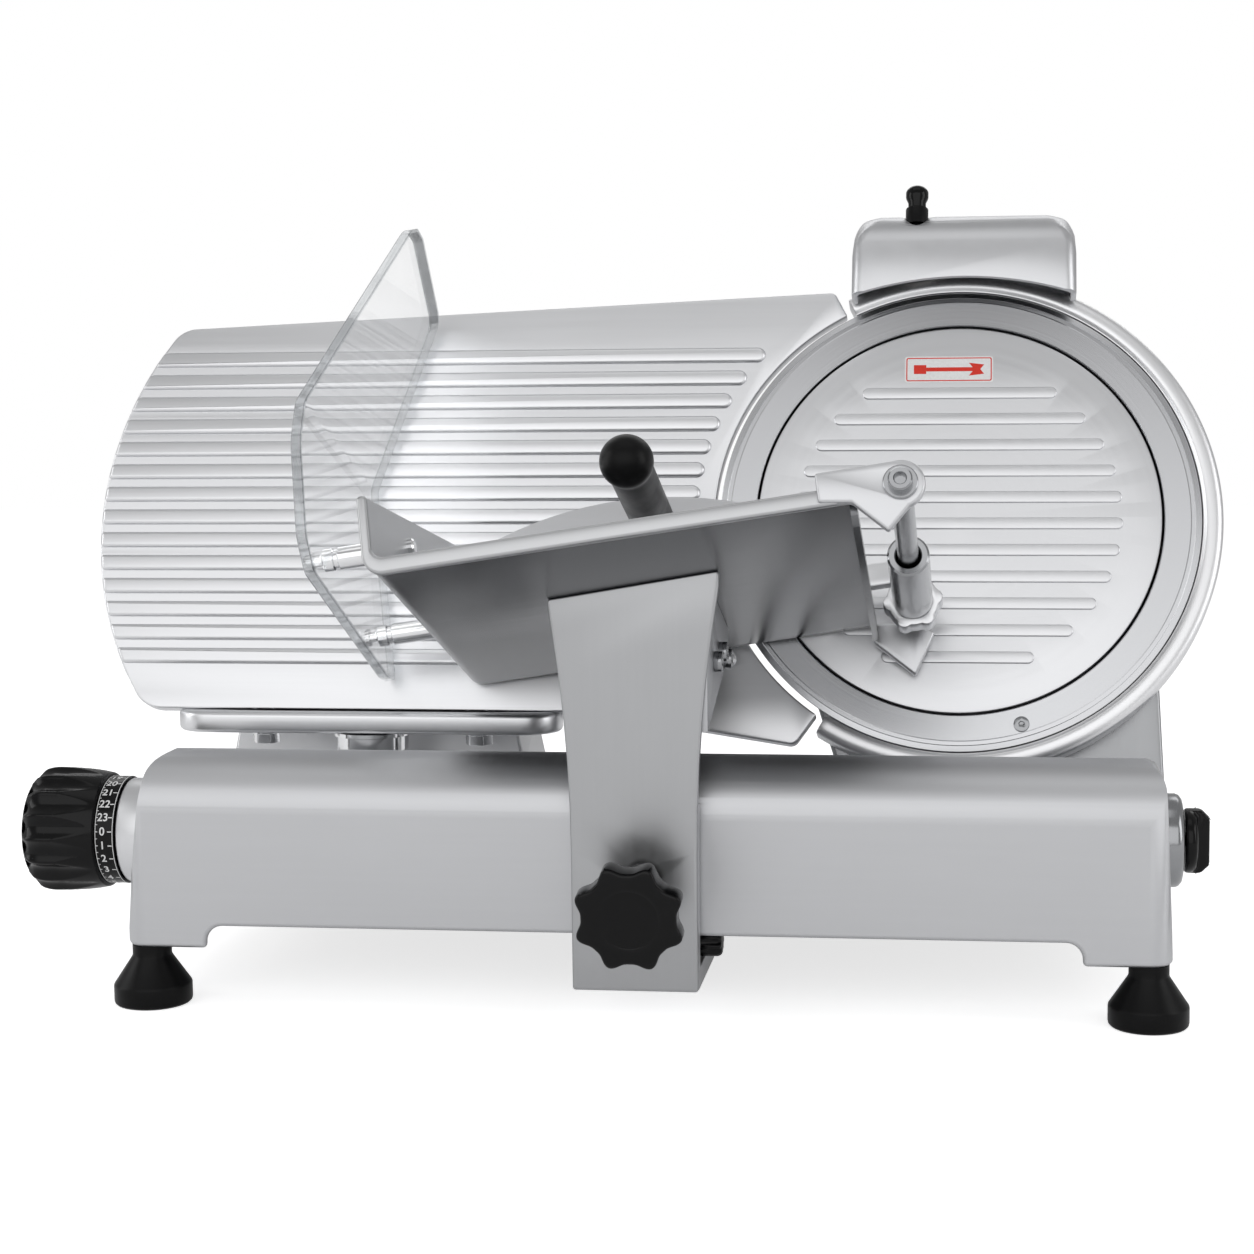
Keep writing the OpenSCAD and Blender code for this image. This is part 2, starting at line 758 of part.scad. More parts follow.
module post_dome() color(silver) in_frame() translate([guide_x, post_y, index_low_top + pass_gap])
    difference() {
    turned([[0, 0], [dome_d / 2, 0], [dome_d / 2, 3], [dome_d / 2 - 5, dome_h - 2],
        [post_d / 2 + 2, dome_h], [0, dome_h]]);
    translate([0, 0, -1]) cylinder(d = post_d + 2 * loose_fit, h = dome_h + 2);
}

// Blade, hub and cover

module blade() color(steel) blade_frame() difference() {
    turned([[blade_bore_d / 2, -recess], [recess_r - 1, -recess], [recess_r, edge_n],
        [blade_r - bevel_w, edge_n],
        [blade_r, edge_n - 1], [blade_r, edge_n - 1.2], [recess_r + rim_w * 0.25,
            edge_n - blade_t], [recess_r - 3, -blade_back],
        [blade_bore_d / 2, -blade_back]]);
    at_hub_screws() screw_hole(5, 20);
    at_rim_screw() screw_hole(4, 2);
}

module at_hub_screws() for (a = [90, 210, 330]) rotate([0, 0, a])
    translate([hub_screw_pcd / 2, 0, -recess]) children();

module at_rim_screw() rotate([0, 0, -73.5])
    translate([(recess_r + blade_r - bevel_w) / 2 + 1, 0, edge_n]) children();

module blade_screws() color(dark) blade_frame() {
    at_hub_screws() screw(5, 9, 8, 0.8);
    at_rim_screw() screw(4, 1.9, 8, 1.2);
}

module blade_hub() color(silver) blade_frame() difference() {
    turned([[hub_bore_d / 2, pulley_front - pulley_w], [pulley_d / 2 - 4, pulley_front - pulley_w],
        [pulley_d / 2, pulley_front - pulley_w], [pulley_d / 2, pulley_front], [hub_flange_r - 6,
            pulley_front],
        [hub_flange_r - 6, -blade_back - hub_flange_t], [hub_flange_r, -blade_back - hub_flange_t],
        [hub_flange_r, -blade_back], [blade_bore_d / 2 - loose_fit, -blade_back],
        [blade_bore_d / 2 - loose_fit, -recess - 0.2], [hub_bore_d / 2, -recess - 0.2]]);
    at_hub_screws() screw_hole(5, 12);
}

module spindle_bearings() color(chrome) blade_frame() for (n = [pulley_front - pulley_w, -recess - 10.2])
    ring(hub_bore_d / 2 - 0.02, spindle_d / 2 + run_fit, n, 10);

module spindle() color(steel) blade_frame() difference() {
    union() {
        translate([0, 0, house_back]) cylinder(d = spindle_d, h = -house_back - recess - 1.6);
        translate([0, 0, house_back + house_wall]) cylinder(d = hub_bore_d - 6, h = 8);
    }
    translate([0, 0, house_back - 1]) cylinder(d = spindle_bore_d, h = 80);
}

module blade_cover() color(pale_silver) blade_frame() difference() {
    union() {
        translate([0, 0, cover_front - cover_t]) cylinder(r = cover_r, h = cover_t, $fn = 128);
        translate([0, 0, -recess - 1.6]) cylinder(d = spindle_d - 1, h = recess + 1.6 + cover_front - 1);
        for (i = [0 : cover_ribs - 1]) translate([0, 0, cover_front - hair])
            linear_extrude(cover_rib_h + hair)
            intersection() {
                translate([-cover_r, cover_rib_first - i * cover_rib_pitch - cover_rib_w / 2])
                    square([cover_d, cover_rib_w]);
                circle(cover_rib_zone, $fn = 128);
            }
    }
    translate([0, 0, -recess - 3]) cylinder(d = tie_d + 2 * run_fit, h = recess + 1);
}

module release_knob() color(black) blade_frame() {
    translate([0, 0, house_back - 30]) cylinder(d = tie_d, h = 30 - house_back - 2.4);
    difference() {
        translate([0, 0, house_back - 28]) cylinder(d = 25, h = 26);
        for (a = [0 : 45 : 315]) rotate([0, 0, a]) translate([14.4, 0, house_back - 29])
            cylinder(r = 3, h = 20);
    }
}

module ring_guard() color(pale_silver) blade_frame() difference() {
    rotate([0, 0, guard_from]) rotate_extrude(angle = guard_to - guard_from, $fn = 128) polygon([
        [web_in_r, web_back], [guard_out_r - 2, web_back], [guard_out_r, web_back + 3],
            [guard_out_r, -3],
        [guard_out_r - 1, -1], [guard_out_r - 3, 0.6], [guard_out_r - 5, 1], [guard_in_r + 1, 1],
            [guard_in_r, 0],
        [guard_in_r, ledge_n], [guard_in_r - 5, ledge_n], [guard_in_r - 5, ledge_n - 1.5],
        [guard_in_r, ledge_n - 4], [guard_in_r, web_back + web_t], [web_in_r, web_back + web_t]]);
    at_web_screws() screw_hole(4, 12);
}

// Drive

module house_outline() hull() {
    circle(house_r, $fn = 96);
    for (x = [house_left + house_corner, house_right - house_corner])
        translate([x, -house_drop + house_corner])
        circle(house_corner, $fn = 32);
}

module house_inner() hull() {
    circle(house_r - house_wall, $fn = 96);
    for (x = [house_left + house_corner, house_right - house_corner])
        translate([x, -house_drop + house_corner])
        circle(house_corner - house_wall, $fn = 32);
}

module drive_housing() color(silver) difference() {
    blade_frame() difference() {
        translate([0, 0, house_back]) linear_extrude(web_back - house_back) house_outline();
        translate([0, 0, house_back + house_wall])
            linear_extrude(web_back - house_back - 2 * house_wall) house_inner();
        translate([0, 0, web_back - house_wall - 1])
            cylinder(r = web_in_r - 2, h = house_wall + 2, $fn = 96);
        translate([0, 0, house_back - 1]) cylinder(d = spindle_d + 2 * loose_fit, h = house_wall + 2);
        translate([0, -motor_drop, house_back - 1]) cylinder(d = 24, h = house_wall + 2);
        at_web_screws() screw_hole(4, 12);
        at_motor_screws() screw_hole(4, 12);
    }
    in_frame() translate([-far / 2, -far / 2, deck_top - far]) cube(far);
}

module motor_stator() color(dark) blade_frame() translate([0, -motor_drop, house_back]) difference() {
    translate([0, 0, -motor_bell_t - motor_l - 6])
        cylinder(d = motor_d, h = motor_bell_t + motor_l + 6, $fn = 96);
    translate([0, 0, -motor_bell_t - motor_l]) cylinder(d = motor_d - 38, h = motor_l);
    cylinder(d = motor_shaft_d + 2 * run_fit, h = far, center = true);
}

module motor_rotor() color(steel) blade_frame() translate([0, -motor_drop, house_back]) {
    translate([0, 0, -motor_bell_t - motor_l + 3]) cylinder(d = motor_d - 40, h = motor_l - 6);
    translate([0, 0, fan_n - house_back - 2]) cylinder(d = motor_shaft_d, h = pulley_front - fan_n + 2);
}

module motor_pulley() color(silver) blade_frame() translate([0, -motor_drop, 0])
    ring(pinion_d / 2, motor_shaft_d / 2 + loose_fit, pulley_front - pulley_w, pulley_w);

module cooling_fan() color(black) blade_frame() translate([0, -motor_drop, fan_n]) difference() {
    union() {
        cylinder(r = 11, h = fan_t);
        for (a = [0 : 45 : 315]) rotate([0, 0, a]) translate([9, -1, 0])
            cube([motor_d / 2 - 13, 2, fan_t - 1]);
        cylinder(r = motor_d / 2 - 5, h = 1.5);
    }
    translate([0, 0, -1]) cylinder(d = motor_shaft_d + 2 * loose_fit, h = fan_t + 2);
}

module motor_cover() color(silver) blade_frame() difference() {
    translate([0, -motor_drop, 0]) {
        turned([[0, motor_end_n], [motor_cover_r - cover_chamfer, motor_end_n],
            [motor_cover_r, motor_end_n + cover_chamfer], [motor_cover_r, house_back - house_wall],
            [motor_flange_r, house_back - house_wall], [motor_flange_r, house_back],
            [motor_cover_r - cover_wall, house_back], [motor_cover_r - cover_wall,
                motor_end_n + cover_wall],
            [0, motor_end_n + cover_wall]]);
    }
    for (i = [-4 : 4]) translate([-24, -motor_drop + i * 8 - 1.5, motor_end_n - 1])
        cube([48, 3, cover_wall + 2]);
    at_motor_screws() screw_hole(4, 12);
}

module belt_line(extra) hull() {
    circle(pulley_d / 2 + extra, $fn = 128);
    translate([0, -motor_drop]) circle(pinion_d / 2 + extra, $fn = 64);
}

module drive_belt() color(black) blade_frame() translate([0, 0, pulley_front - pulley_w + 2])
    linear_extrude(pulley_w - 4) difference() {
        belt_line(pass_gap + belt_t);
        belt_line(pass_gap);
    }

module housing_screws() color(dark) {
    blade_frame() at_motor_screws() screw(4, 7.5, 7, 3);
    blade_frame() at_web_screws() screw(4, web_t + house_wall - 0.5, 7, 1.8);
    in_frame() at_cover_bosses() screw(4, 12, 7, 2);
    in_frame() at_feet() translate([0, 0, 12]) rotate([180, 0, 0])
        screw(foot_screw_d, leg_z, foot_screw_d * 1.7, 4);
}

module cord_gland() color(black) in_frame() gland_place() difference() {
    union() {
        translate([0, 0, -wall - 4]) cylinder(d = 14, h = wall + 10);
        cylinder(d = 20, h = 4);
    }
    translate([0, 0, -wall - 5]) cylinder(d = 8, h = 30);
}

// Sharpener over the top of the blade

module sharp_front_outline(inset) polygon([[sharp_left + inset, sharp_low - inset],
    [sharp_left + 1 + inset, sharp_high - 15 - inset / 2], [sharp_left + 22 + inset / 2,
        sharp_high - inset],
    [sharp_right - 14 - inset / 2, sharp_high - inset], [sharp_right - 1 - inset,
        sharp_high - 20 - inset / 2],
    [sharp_right - inset, sharp_low - inset]]);

module sharp_side_outline(inset)
    polygon([[sharp_back + inset, sharp_low - 40], [sharp_front - inset, sharp_low - 40],
    [sharp_front - inset, sharp_high - sharp_slope - inset / 2], [sharp_front - 7 - inset,
        sharp_high - 3 - inset],
    [sharp_front - 13 - inset, sharp_high - inset], [sharp_back + 8, sharp_high - inset],
    [sharp_back + inset, sharp_high - 8 - inset / 2]]);

// Solid of the housing: its front outline met by its side outline
module sharp_form(inset) intersection() {
    translate([0, 0, sharp_back]) linear_extrude(sharp_front - sharp_back) sharp_front_outline(inset);
    side_on(sharp_left, sharp_w) sharp_side_outline(inset);
}

module sharpener_housing() color(pale_silver) blade_frame() difference() {
    union() {
        difference() {
            sharp_form(0);
            sharp_form(sharp_wall);
        }
        translate([-16, web_in_r + 10, sharp_back])
            cube([32, sharp_low + 14 - web_in_r - 10, web_back - sharp_back]);
    }
    translate([0, 0, web_back]) cylinder(r = guard_out_r + 1.5, h = -web_back + 2.5, $fn = 128);
    translate([2, sharp_arch_top - sharp_arch_r, sharp_front - sharp_wall - 1])
        cylinder(r = sharp_arch_r, h = 10, $fn = 128);
    translate([button_x, sharp_high - seat_deep - 3, button_n]) rotate([-90, 0, 0])
        cylinder(r = seat_r + loose_fit, h = 30);
    translate([0, 0, house_back - 1])
        cylinder(r = house_r + pass_gap, h = web_back - house_back + 1, $fn = 96);
}

module sharpener_button() color(black) blade_frame() {
    translate([button_x, 0, button_n]) rotate([-90, 0, 0]) {
        translate([0, 0, stone_u]) cylinder(d = stem_d, h = cap_low + cap_h - 2 - stone_u);
        translate([0, 0, cap_low]) turned([[0, 0], [button_d / 2, 0], [button_d / 2, cap_h - 3],
            [button_d / 2 - 1.5, cap_h - 0.8], [button_d / 2 - 3, cap_h], [0, cap_h]]);
    }
    translate([button_x, stone_u, stone_n0 - 0.2]) cylinder(d = stone_axle_d, h = button_n - stone_n0);
}

module grinding_stone() color(dark) blade_frame() translate([button_x, stone_u, stone_n0])
    ring(stone_r, stone_axle_d / 2 + run_fit, 0, stone_t);

module button_seat() color(black) blade_frame() translate([button_x, sharp_high, button_n])
    rotate([-90, 0, 0]) difference() {
    turned([[0, -seat_deep], [seat_r, -seat_deep], [seat_r, seat_t - 1], [seat_r - 1, seat_t], [0,
        seat_t]]);
    translate([0, 0, -seat_deep - 1]) cylinder(d = stem_d + 2 * pass_gap, h = seat_deep + seat_t + 2);
}

// Switch

module switch_bezel() color(steel) in_frame() translate([bezel_seat, switch_y, switch_z])
    rotate([0, 90, 0]) difference() {
    turned([[0, 0], [bezel_d / 2, 0], [bezel_d / 2, seat_depth + right_draft + 3],
        [bezel_d / 2 - 3, seat_depth + right_draft + bezel_t], [0, seat_depth + right_draft + bezel_t]]);
    translate([0, 0, -1]) cylinder(d = switch_shaft_d + 2 * run_fit, h = 30);
}

module switch_knob() color(black) in_frame()
    translate([base_right + bezel_t + knob_gap, switch_y, switch_z])
    rotate([0, 90, 0]) {
        turned([[0, 0], [switch_d / 2, 0], [switch_d / 2, 4], [switch_d / 2 - 2, 6], [0, 6]]);
        intersection() {
            translate([-switch_d / 2, -4, 0]) cube([switch_d, 8, knob_l]);
            turned([[0, 0], [switch_d / 2, 0], [switch_d / 2, 8], [switch_d / 2 - 4, knob_l], [0,
                knob_l]]);
        }
        translate([0, 0, -50]) cylinder(d = switch_shaft_d, h = 51);
    }

module switch_body() color(dark) in_frame()
    translate([hollow_right - switch_case[0], switch_y - switch_case[1] / 2,
        switch_z - switch_case[2] / 2]) difference() {
        cube(switch_case);
        translate([switch_case[0] - 20, switch_case[1] / 2, switch_case[2] / 2]) rotate([0, 90, 0])
            cylinder(d = switch_shaft_d + 2 * loose_fit, h = 30);
    }

// Carriage

// Point on the arm's flaring edge, from its foot at 0 to the flare's end at 1
function arm_edge(side, t) = [arm_x - 1 + side * (arm_foot_w / 2 + (arm_top_w - arm_foot_w) / 2 * t * t),
    arm_flare_z + arm_flare_h * t];

module arm_outline(low) polygon(concat([[arm_x - arm_foot_w / 2 - 1, low]],
    [for (i = [0 : 6]) arm_edge(-1, i / 6)],
    [[arm_left_top, arm_tall], [arm_right_top, arm_tall]],
    [for (i = [6 : -1 : 0]) arm_edge(1, i / 6)],
    [[arm_x + arm_foot_w / 2 - 1, low]]));

// All that lies above the underside of the tray's floor
module above_tray() tray_frame() translate([-far / 2, tray_floor - tray_t, -far / 2]) cube(far);

module carriage_arm() color(silver) difference() {
    in_frame() along_y(arm_front, arm_t) arm_outline(carriage_z);
    above_tray();
    star_frame() cylinder(d = stud_d + 4 * loose_fit, h = 60, center = true);
}

module star_frame() in_frame() translate([arm_x + 3, arm_front, star_z])
    rotate([90 + star_tilt, 0, 0]) children();

// Foot bracket behind the arm, which reaches under the front wall of the base
module carriage_foot() color(silver) difference() {
    in_frame() {
        along_y(arm_front + arm_t, arm_t) intersection() {
            arm_outline(carriage_z);
            translate([-far / 2, carriage_z]) square([far, foot_up_h - carriage_z]);
        }
        translate([arm_x - arm_foot_w / 2 - 1, arm_front + 2 * arm_t - hair, carriage_z])
            cube([arm_foot_w, block_y1 - arm_front - 2 * arm_t + hair, foot_plate_h]);
    }
    star_frame() cylinder(d = stud_d + 2 * run_fit, h = 60, center = true);
}

module star_knob() color(black) star_frame() {
    translate([0, 0, -arm_t - 4]) cylinder(d = stud_d, h = arm_t + 8);
    translate([0, 0, 2.2]) cylinder(d = star_stem_d, h = star_stem_l);
    translate([0, 0, star_stem_l]) difference() {
        cylinder(d = star_d, h = star_t);
        for (i = [0 : star_lobes - 1]) rotate([0, 0, i * 360 / star_lobes])
            translate([star_d / 2 + star_bite_r - star_bite, 0, -1])
            cylinder(r = star_bite_r, h = star_t + 2);
    }
}

module arm_gussets() color(silver) difference() {
    in_frame() for (x = [arm_left_top + gusset_inset, arm_right_top - gusset_inset - gusset_t])
        along_x(x, gusset_t)
        polygon([[arm_front + arm_t, gusset_low], [arm_front + arm_t, arm_tall], [gusset_y1, arm_tall],
            [gusset_y1, gusset_back_low]]);
    above_tray();
    at_gusset_bolts() screw_hole(gusset_bolt_d, 20);
}

module at_gusset_bolts() in_frame() for (side = [-1, 1], p = gusset_bolts)
    translate([arm_x + side * (arm_top_w / 2 - gusset_inset), p[0], p[1]]) rotate([0, side * 90, 0])
        children();

module carriage_bolts() color(steel) at_gusset_bolts() screw(gusset_bolt_d, gusset_t, 10, 4);

module carriage_block() color(dark) in_frame() difference() {
    union() {
        translate([arm_x - block_l / 2, block_y0, carriage_z + foot_plate_h])
            cube([block_l, block_y1 - block_y0, block_top - carriage_z - foot_plate_h]);
        translate([arm_x, block_y1 - hair, rail_strip_z - pass_gap - roller_r]) rotate([-90, 0, 0])
            cylinder(d = axle_d, h = roller_w + 2.5);
    }
    translate([arm_x - block_l / 2 - 1, slide_y, slide_z]) rotate([0, 90, 0])
        cylinder(d = slide_d + 2 * bush_t + 2 * loose_fit, h = block_l + 2);
    translate([arm_x + block_l / 2 - 8, lock_y, lock_z]) rotate([0, 90, 0])
        cylinder(d = 6 + 2 * run_fit, h = 10);
}

module slide_bushes() color("#b08d4a") in_frame()
    for (x = [arm_x - block_l / 2, arm_x + block_l / 2 - bush_l])
    translate([x, slide_y, slide_z]) rotate([0, 90, 0])
        ring(slide_d / 2 + bush_t, slide_d / 2 + run_fit, 0, bush_l);

module guide_roller() color(black) in_frame()
    translate([arm_x, block_y1 + 0.5, rail_strip_z - pass_gap - roller_r]) rotate([-90, 0, 0])
    ring(roller_r, axle_d / 2 + run_fit, 0, roller_w);

module lock_knob() color(black) in_frame() translate([arm_x + block_l / 2, lock_y, lock_z])
    rotate([0, 90, 0]) {
    translate([0, 0, -7]) cylinder(d = 6, h = 9);
    difference() {
        translate([0, 0, pass_gap]) cylinder(r = lock_r, h = lock_t);
        for (a = [0 : 36 : 324]) rotate([0, 0, a]) translate([lock_r + 1.4, 0, 2])
            cylinder(r = 2.4, h = lock_t);
    }
}

module tray_pan() color(silver) tray_frame() difference() {
    union() {
        translate([tray_left - tray_t, tray_floor - tray_t, tray_back])
            cube([tray_w + tray_t, tray_t, tray_depth]);
        side_on(tray_left - tray_t, tray_t) tray_wall_outline();
        translate([tray_left - tray_t, rim_low, tray_front - hair])
            cube([tray_w + tray_t, rim_h, rim_t + hair]);
        translate([tray_left + tray_w - tray_t, tray_floor - tray_t - strip_h, tray_back + strip_inset])
            cube([tray_t, strip_h + hair, tray_depth - strip_inset - 4]);
    }
    at_spacers() translate([0, 0, 20]) cylinder(d = 5 + 2 * loose_fit, h = 60);
}

// Left wall: level top, so it grows taller towards the blade as the floor falls away
module tray_wall_outline() polygon([[tray_back, tray_floor - tray_t], [tray_front, tray_floor - tray_t],
    [tray_front, tray_floor + wall_front_h], [20, tray_floor + wall_back_h], [tray_back,
        tray_floor + wall_back_h]]);

module at_spacers() for (p = spacers) translate([clear_x + clear_t / 2, p[1], p[0]])
    rotate([0, 90, 0]) children();

module guard_spacers() color(chrome) tray_frame() at_spacers() {
    cylinder(d = spacer_d, h = tray_left - tray_t - clear_x - clear_t / 2);
    translate([0, 0, tray_left - tray_t - clear_x - clear_t / 2 - 1])
        cylinder(d = 5, h = tray_t + 1 + hair);
    translate([0, 0, tray_left - clear_x - clear_t / 2]) cylinder(d = 9, h = 3);
    translate([0, 0, -clear_t - hair]) cylinder(d = 5, h = clear_t + 1);
    translate([0, 0, -clear_t - 3]) cylinder(d = 9, h = 3);
}

// Section of the bent sheet, across the guard
module clear_section() {
    half = clear_t / 2;
    mitre = half * tan(clear_bend / 2);
    reach = clear_up_h + 10;
    along = [sin(clear_bend), cos(clear_bend)];
    across = [half * cos(clear_bend), -half * sin(clear_bend)];
    polygon([[-half, clear_low - 10], [half, clear_low - 10], [half, clear_knee - mitre],
        [0, clear_knee] + reach * along + across, [0, clear_knee] + reach * along - across,
        [-half, clear_knee + mitre]]);
}

// Outline of the guard from the side, its depth away from the blade
module clear_outline() {
    rise = clear_up_h * cos(clear_bend);
    polygon(concat([for (p = clear_low_pts) [p[0], clear_low + clear_low_h * p[1]]],
        [for (p = clear_up_pts) [p[0], clear_knee + rise * p[1]]]));
}

module clear_guard() color(clear) tray_frame() difference() {
    translate([clear_x, 0, 0]) intersection() {
        linear_extrude(far) clear_section();
        side_on(-clear_t, clear_up_h) clear_outline();
    }
    at_spacers() translate([0, 0, -20]) cylinder(d = 5 + 2 * loose_fit, h = 30);
}

// Pusher

module rod_brackets() color(silver) tray_frame() {
    difference() {
        translate([0, 0, tray_front]) linear_extrude(bracket_t) union() {
            translate([rod_x, rod_y]) circle(10.5);
            polygon([[tray_left + tray_w - 16, tray_floor + 8], [rod_x + 2, rod_y + 10.3],
                [rod_x + 10, rod_y - 3],
                [rod_x - 8, rod_y - 20], [tray_left + tray_w - 2, tray_floor - tray_t - 4],
                [tray_left + tray_w - 16, rim_low + 1]]);
        }
        translate([rod_x, rod_y, 0]) cylinder(d = pusher_rod_d + 2 * loose_fit, h = tray_front + 20);
        translate([tray_left, rim_low, tray_front - 1]) cube([tray_w, rim_h, rim_t + 1]);
    }
    difference() {
        translate([0, 0, tray_back]) linear_extrude(bracket_t) union() {
            translate([rod_x, rod_y]) circle(9);
            polygon([[tray_left + tray_w - tray_t, tray_floor - tray_t], [rod_x, rod_y - 4],
                [rod_x + 9, rod_y - 10],
                [rod_x - 4, rod_y - 31], [tray_left + tray_w - tray_t, tray_floor - tray_t - 10]]);
        }
        translate([rod_x, rod_y, 0]) cylinder(d = pusher_rod_d + 2 * loose_fit, h = 40);
        translate([tray_left, tray_floor - tray_t, 0]) cube([tray_w, 30, 40]);
    }
}

module pusher_rod() color(chrome) tray_frame() translate([rod_x, rod_y, tray_back]) {
    cylinder(d = pusher_rod_d, h = tray_depth + bracket_t);
    translate([0, 0, tray_depth + bracket_t]) cylinder(d = 15, h = 1.6);
    translate([0, 0, tray_depth + bracket_t + 1.6 - hair]) difference() {
        cylinder(d = 10.5, h = 5);
        translate([0, 0, 2]) cylinder(d = 5, h = 5, $fn = 6);
    }
}

module pusher_sleeve() color(steel) tray_frame() translate([rod_x, rod_y, 0]) difference() {
    union() {
        translate([0, 0, sleeve_n]) cylinder(d = sleeve_d, h = hub_n + hub_l + 1 - sleeve_n);
        translate([0, 0, sleeve_n]) cylinder(r = shoulder_r, h = hub_n - sleeve_n - pass_gap);
        translate([0, 0, hub_n + hub_l + pass_gap])
            cylinder(r = shoulder_r, h = sleeve_n + sleeve_l - hub_n - hub_l - pass_gap);
    }
    cylinder(d = pusher_rod_d + 2 * run_fit, h = 300);
}

module pusher_arm() color(silver) tray_frame() difference() {
    union() {
        translate([rod_x, rod_y, hub_n]) linear_extrude(hub_l) {
            circle(hub_r - 2);
            for (i = [0 : hub_lobes - 1]) rotate(i * 360 / hub_lobes) translate([hub_r - 4, 0])
                circle(4);
        }
        translate([pusher_right - 30, arm_bar_low, hub_n + pusher_t])
            cube([rod_x - pusher_right + 33, arm_bar_h, hub_l - pusher_t - 1]);
    }
    translate([rod_x, rod_y, 0]) cylinder(d = sleeve_d + 2 * run_fit, h = 200);
}

module pusher_outline() intersection() {
    translate([pusher_left, pusher_low]) square([pusher_right - pusher_left, 120]);
    translate([(pusher_left + pusher_right) / 2 - 10, pusher_top - pusher_top_r])
        circle(pusher_top_r, $fn = 128);
}

module pusher_plate() color(pale_silver) tray_frame() difference() {
    union() {
        translate([0, 0, hub_n]) linear_extrude(pusher_t) pusher_outline();
        for (x = [pusher_left + 20 : 22 : pusher_right - 12], y = [pusher_low + 12, pusher_low + 34])
            translate([x, y, hub_n - tooth_l]) cylinder(d1 = 1.5, d2 = tooth_d, h = tooth_l + hair);
    }
    translate([grip_x, grip_y, 0]) cylinder(d = grip_stud_d + 2 * loose_fit, h = far);
}

module pusher_grip() color(black) tray_frame() translate([grip_x, grip_y, hub_n + pusher_t]) {
    translate([0, 0, -pusher_t]) cylinder(d = grip_stud_d, h = pusher_t + 1);
    cylinder(d = grip_d, h = grip_l);
    translate([0, 0, grip_l]) sphere(d = grip_d + 4);
}

base_casting();
bottom_cover();
feet();
housing_screws();
slide_rod();
guide_rail();
index_housing();
guide_shaft();
dial_collar();
switch_bezel();
switch_body();
cord_gland();
drive_housing();
motor_stator();
motor_cover();
spindle();
drive_belt();
ring_guard();
blade_cover();
sharpener_housing();
button_seat();
grinding_stone();
blade();
blade_hub();
spindle_bearings();
blade_screws();
motor_rotor();
motor_pulley();
cooling_fan();
gauge_plate();
gauge_bracket();
gauge_bolts();
gauge_post();
post_dome();
slider_block();
dial_grip();
dial_ring();
dial_shaft();
index_cam();
switch_knob();
release_knob();
carriage_arm();
carriage_foot();
arm_gussets();
carriage_bolts();
carriage_block();
slide_bushes();
tray_pan();
clear_guard();
guard_spacers();
rod_brackets();
pusher_rod();
pusher_sleeve();
pusher_arm();
pusher_plate();
pusher_grip();
star_knob();
lock_knob();
guide_roller();
sharpener_button();
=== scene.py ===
# %% [markdown]
# # An electric food slicer, dressed in Blender
# The imported CAD model is the frame: every solid is already in its place, in metres. This lesson keeps
# each solid's place and size, remodels the pieces whose edges and curves the eye reads first, and gives
# every surface a procedural finish. The first cell loads the frame.

# %% Load the frame
import bpy
import json
import math
from mathutils import Matrix, Vector

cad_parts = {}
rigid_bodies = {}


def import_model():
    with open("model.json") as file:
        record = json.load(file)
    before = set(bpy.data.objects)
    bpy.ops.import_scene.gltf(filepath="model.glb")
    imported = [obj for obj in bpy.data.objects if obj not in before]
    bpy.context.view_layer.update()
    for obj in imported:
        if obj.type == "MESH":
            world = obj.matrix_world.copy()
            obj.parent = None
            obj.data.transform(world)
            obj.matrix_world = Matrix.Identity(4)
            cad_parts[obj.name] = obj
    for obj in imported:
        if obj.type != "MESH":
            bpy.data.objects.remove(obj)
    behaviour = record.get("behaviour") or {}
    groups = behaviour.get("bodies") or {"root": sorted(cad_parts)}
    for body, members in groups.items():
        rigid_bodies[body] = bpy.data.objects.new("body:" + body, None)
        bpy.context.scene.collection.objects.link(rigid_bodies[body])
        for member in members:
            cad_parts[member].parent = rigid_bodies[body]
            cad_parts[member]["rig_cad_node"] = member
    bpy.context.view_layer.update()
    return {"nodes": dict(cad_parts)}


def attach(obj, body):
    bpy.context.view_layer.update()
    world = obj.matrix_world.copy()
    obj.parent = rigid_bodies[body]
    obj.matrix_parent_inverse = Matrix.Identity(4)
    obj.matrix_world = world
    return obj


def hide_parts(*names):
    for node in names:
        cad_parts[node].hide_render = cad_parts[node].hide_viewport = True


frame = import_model()
nodes = frame["nodes"]
MM = 0.001

# %% [markdown]
# ## The machine's own directions
# The blade leans back, and the tray rolls a little about the blade's axis. Most pieces are easier to
# think of in these leaning directions, so three matrices turn points given in millimetres, along the
# machine, the blade or the tray, into the shared frame. The numbers repeat those of the CAD source.

# %% Frames of the machine, the blade and the tray
MID_X, MID_Y = 7.75, 92.1482
LEAN = math.radians(20.5)
ROLL = math.radians(9)
BLADE_CENTRE = Vector((172, 150, 231))


def machine(x, y, z):
    return Vector((x - MID_X, y - MID_Y, z)) * MM


MACHINE = Matrix.Translation(Vector((-MID_X, -MID_Y, 0)) * MM) @ Matrix.Scale(MM, 4)
BLADE = MACHINE @ Matrix.Translation(BLADE_CENTRE) @ Matrix.Rotation(math.pi / 2 - LEAN, 4, "X")
TRAY = BLADE @ Matrix.Rotation(ROLL, 4, "Z")
print("blade centre", machine(*BLADE_CENTRE))

# %% [markdown]
# ## The camera
# The photograph was taken from a little above and to the right of the middle, fairly close, so the
# near edges spread. A camera's matrix can be written straight from its three directions: right, up
# and backwards. A small sideways shift of the lens puts the machine where it stands in the photograph.

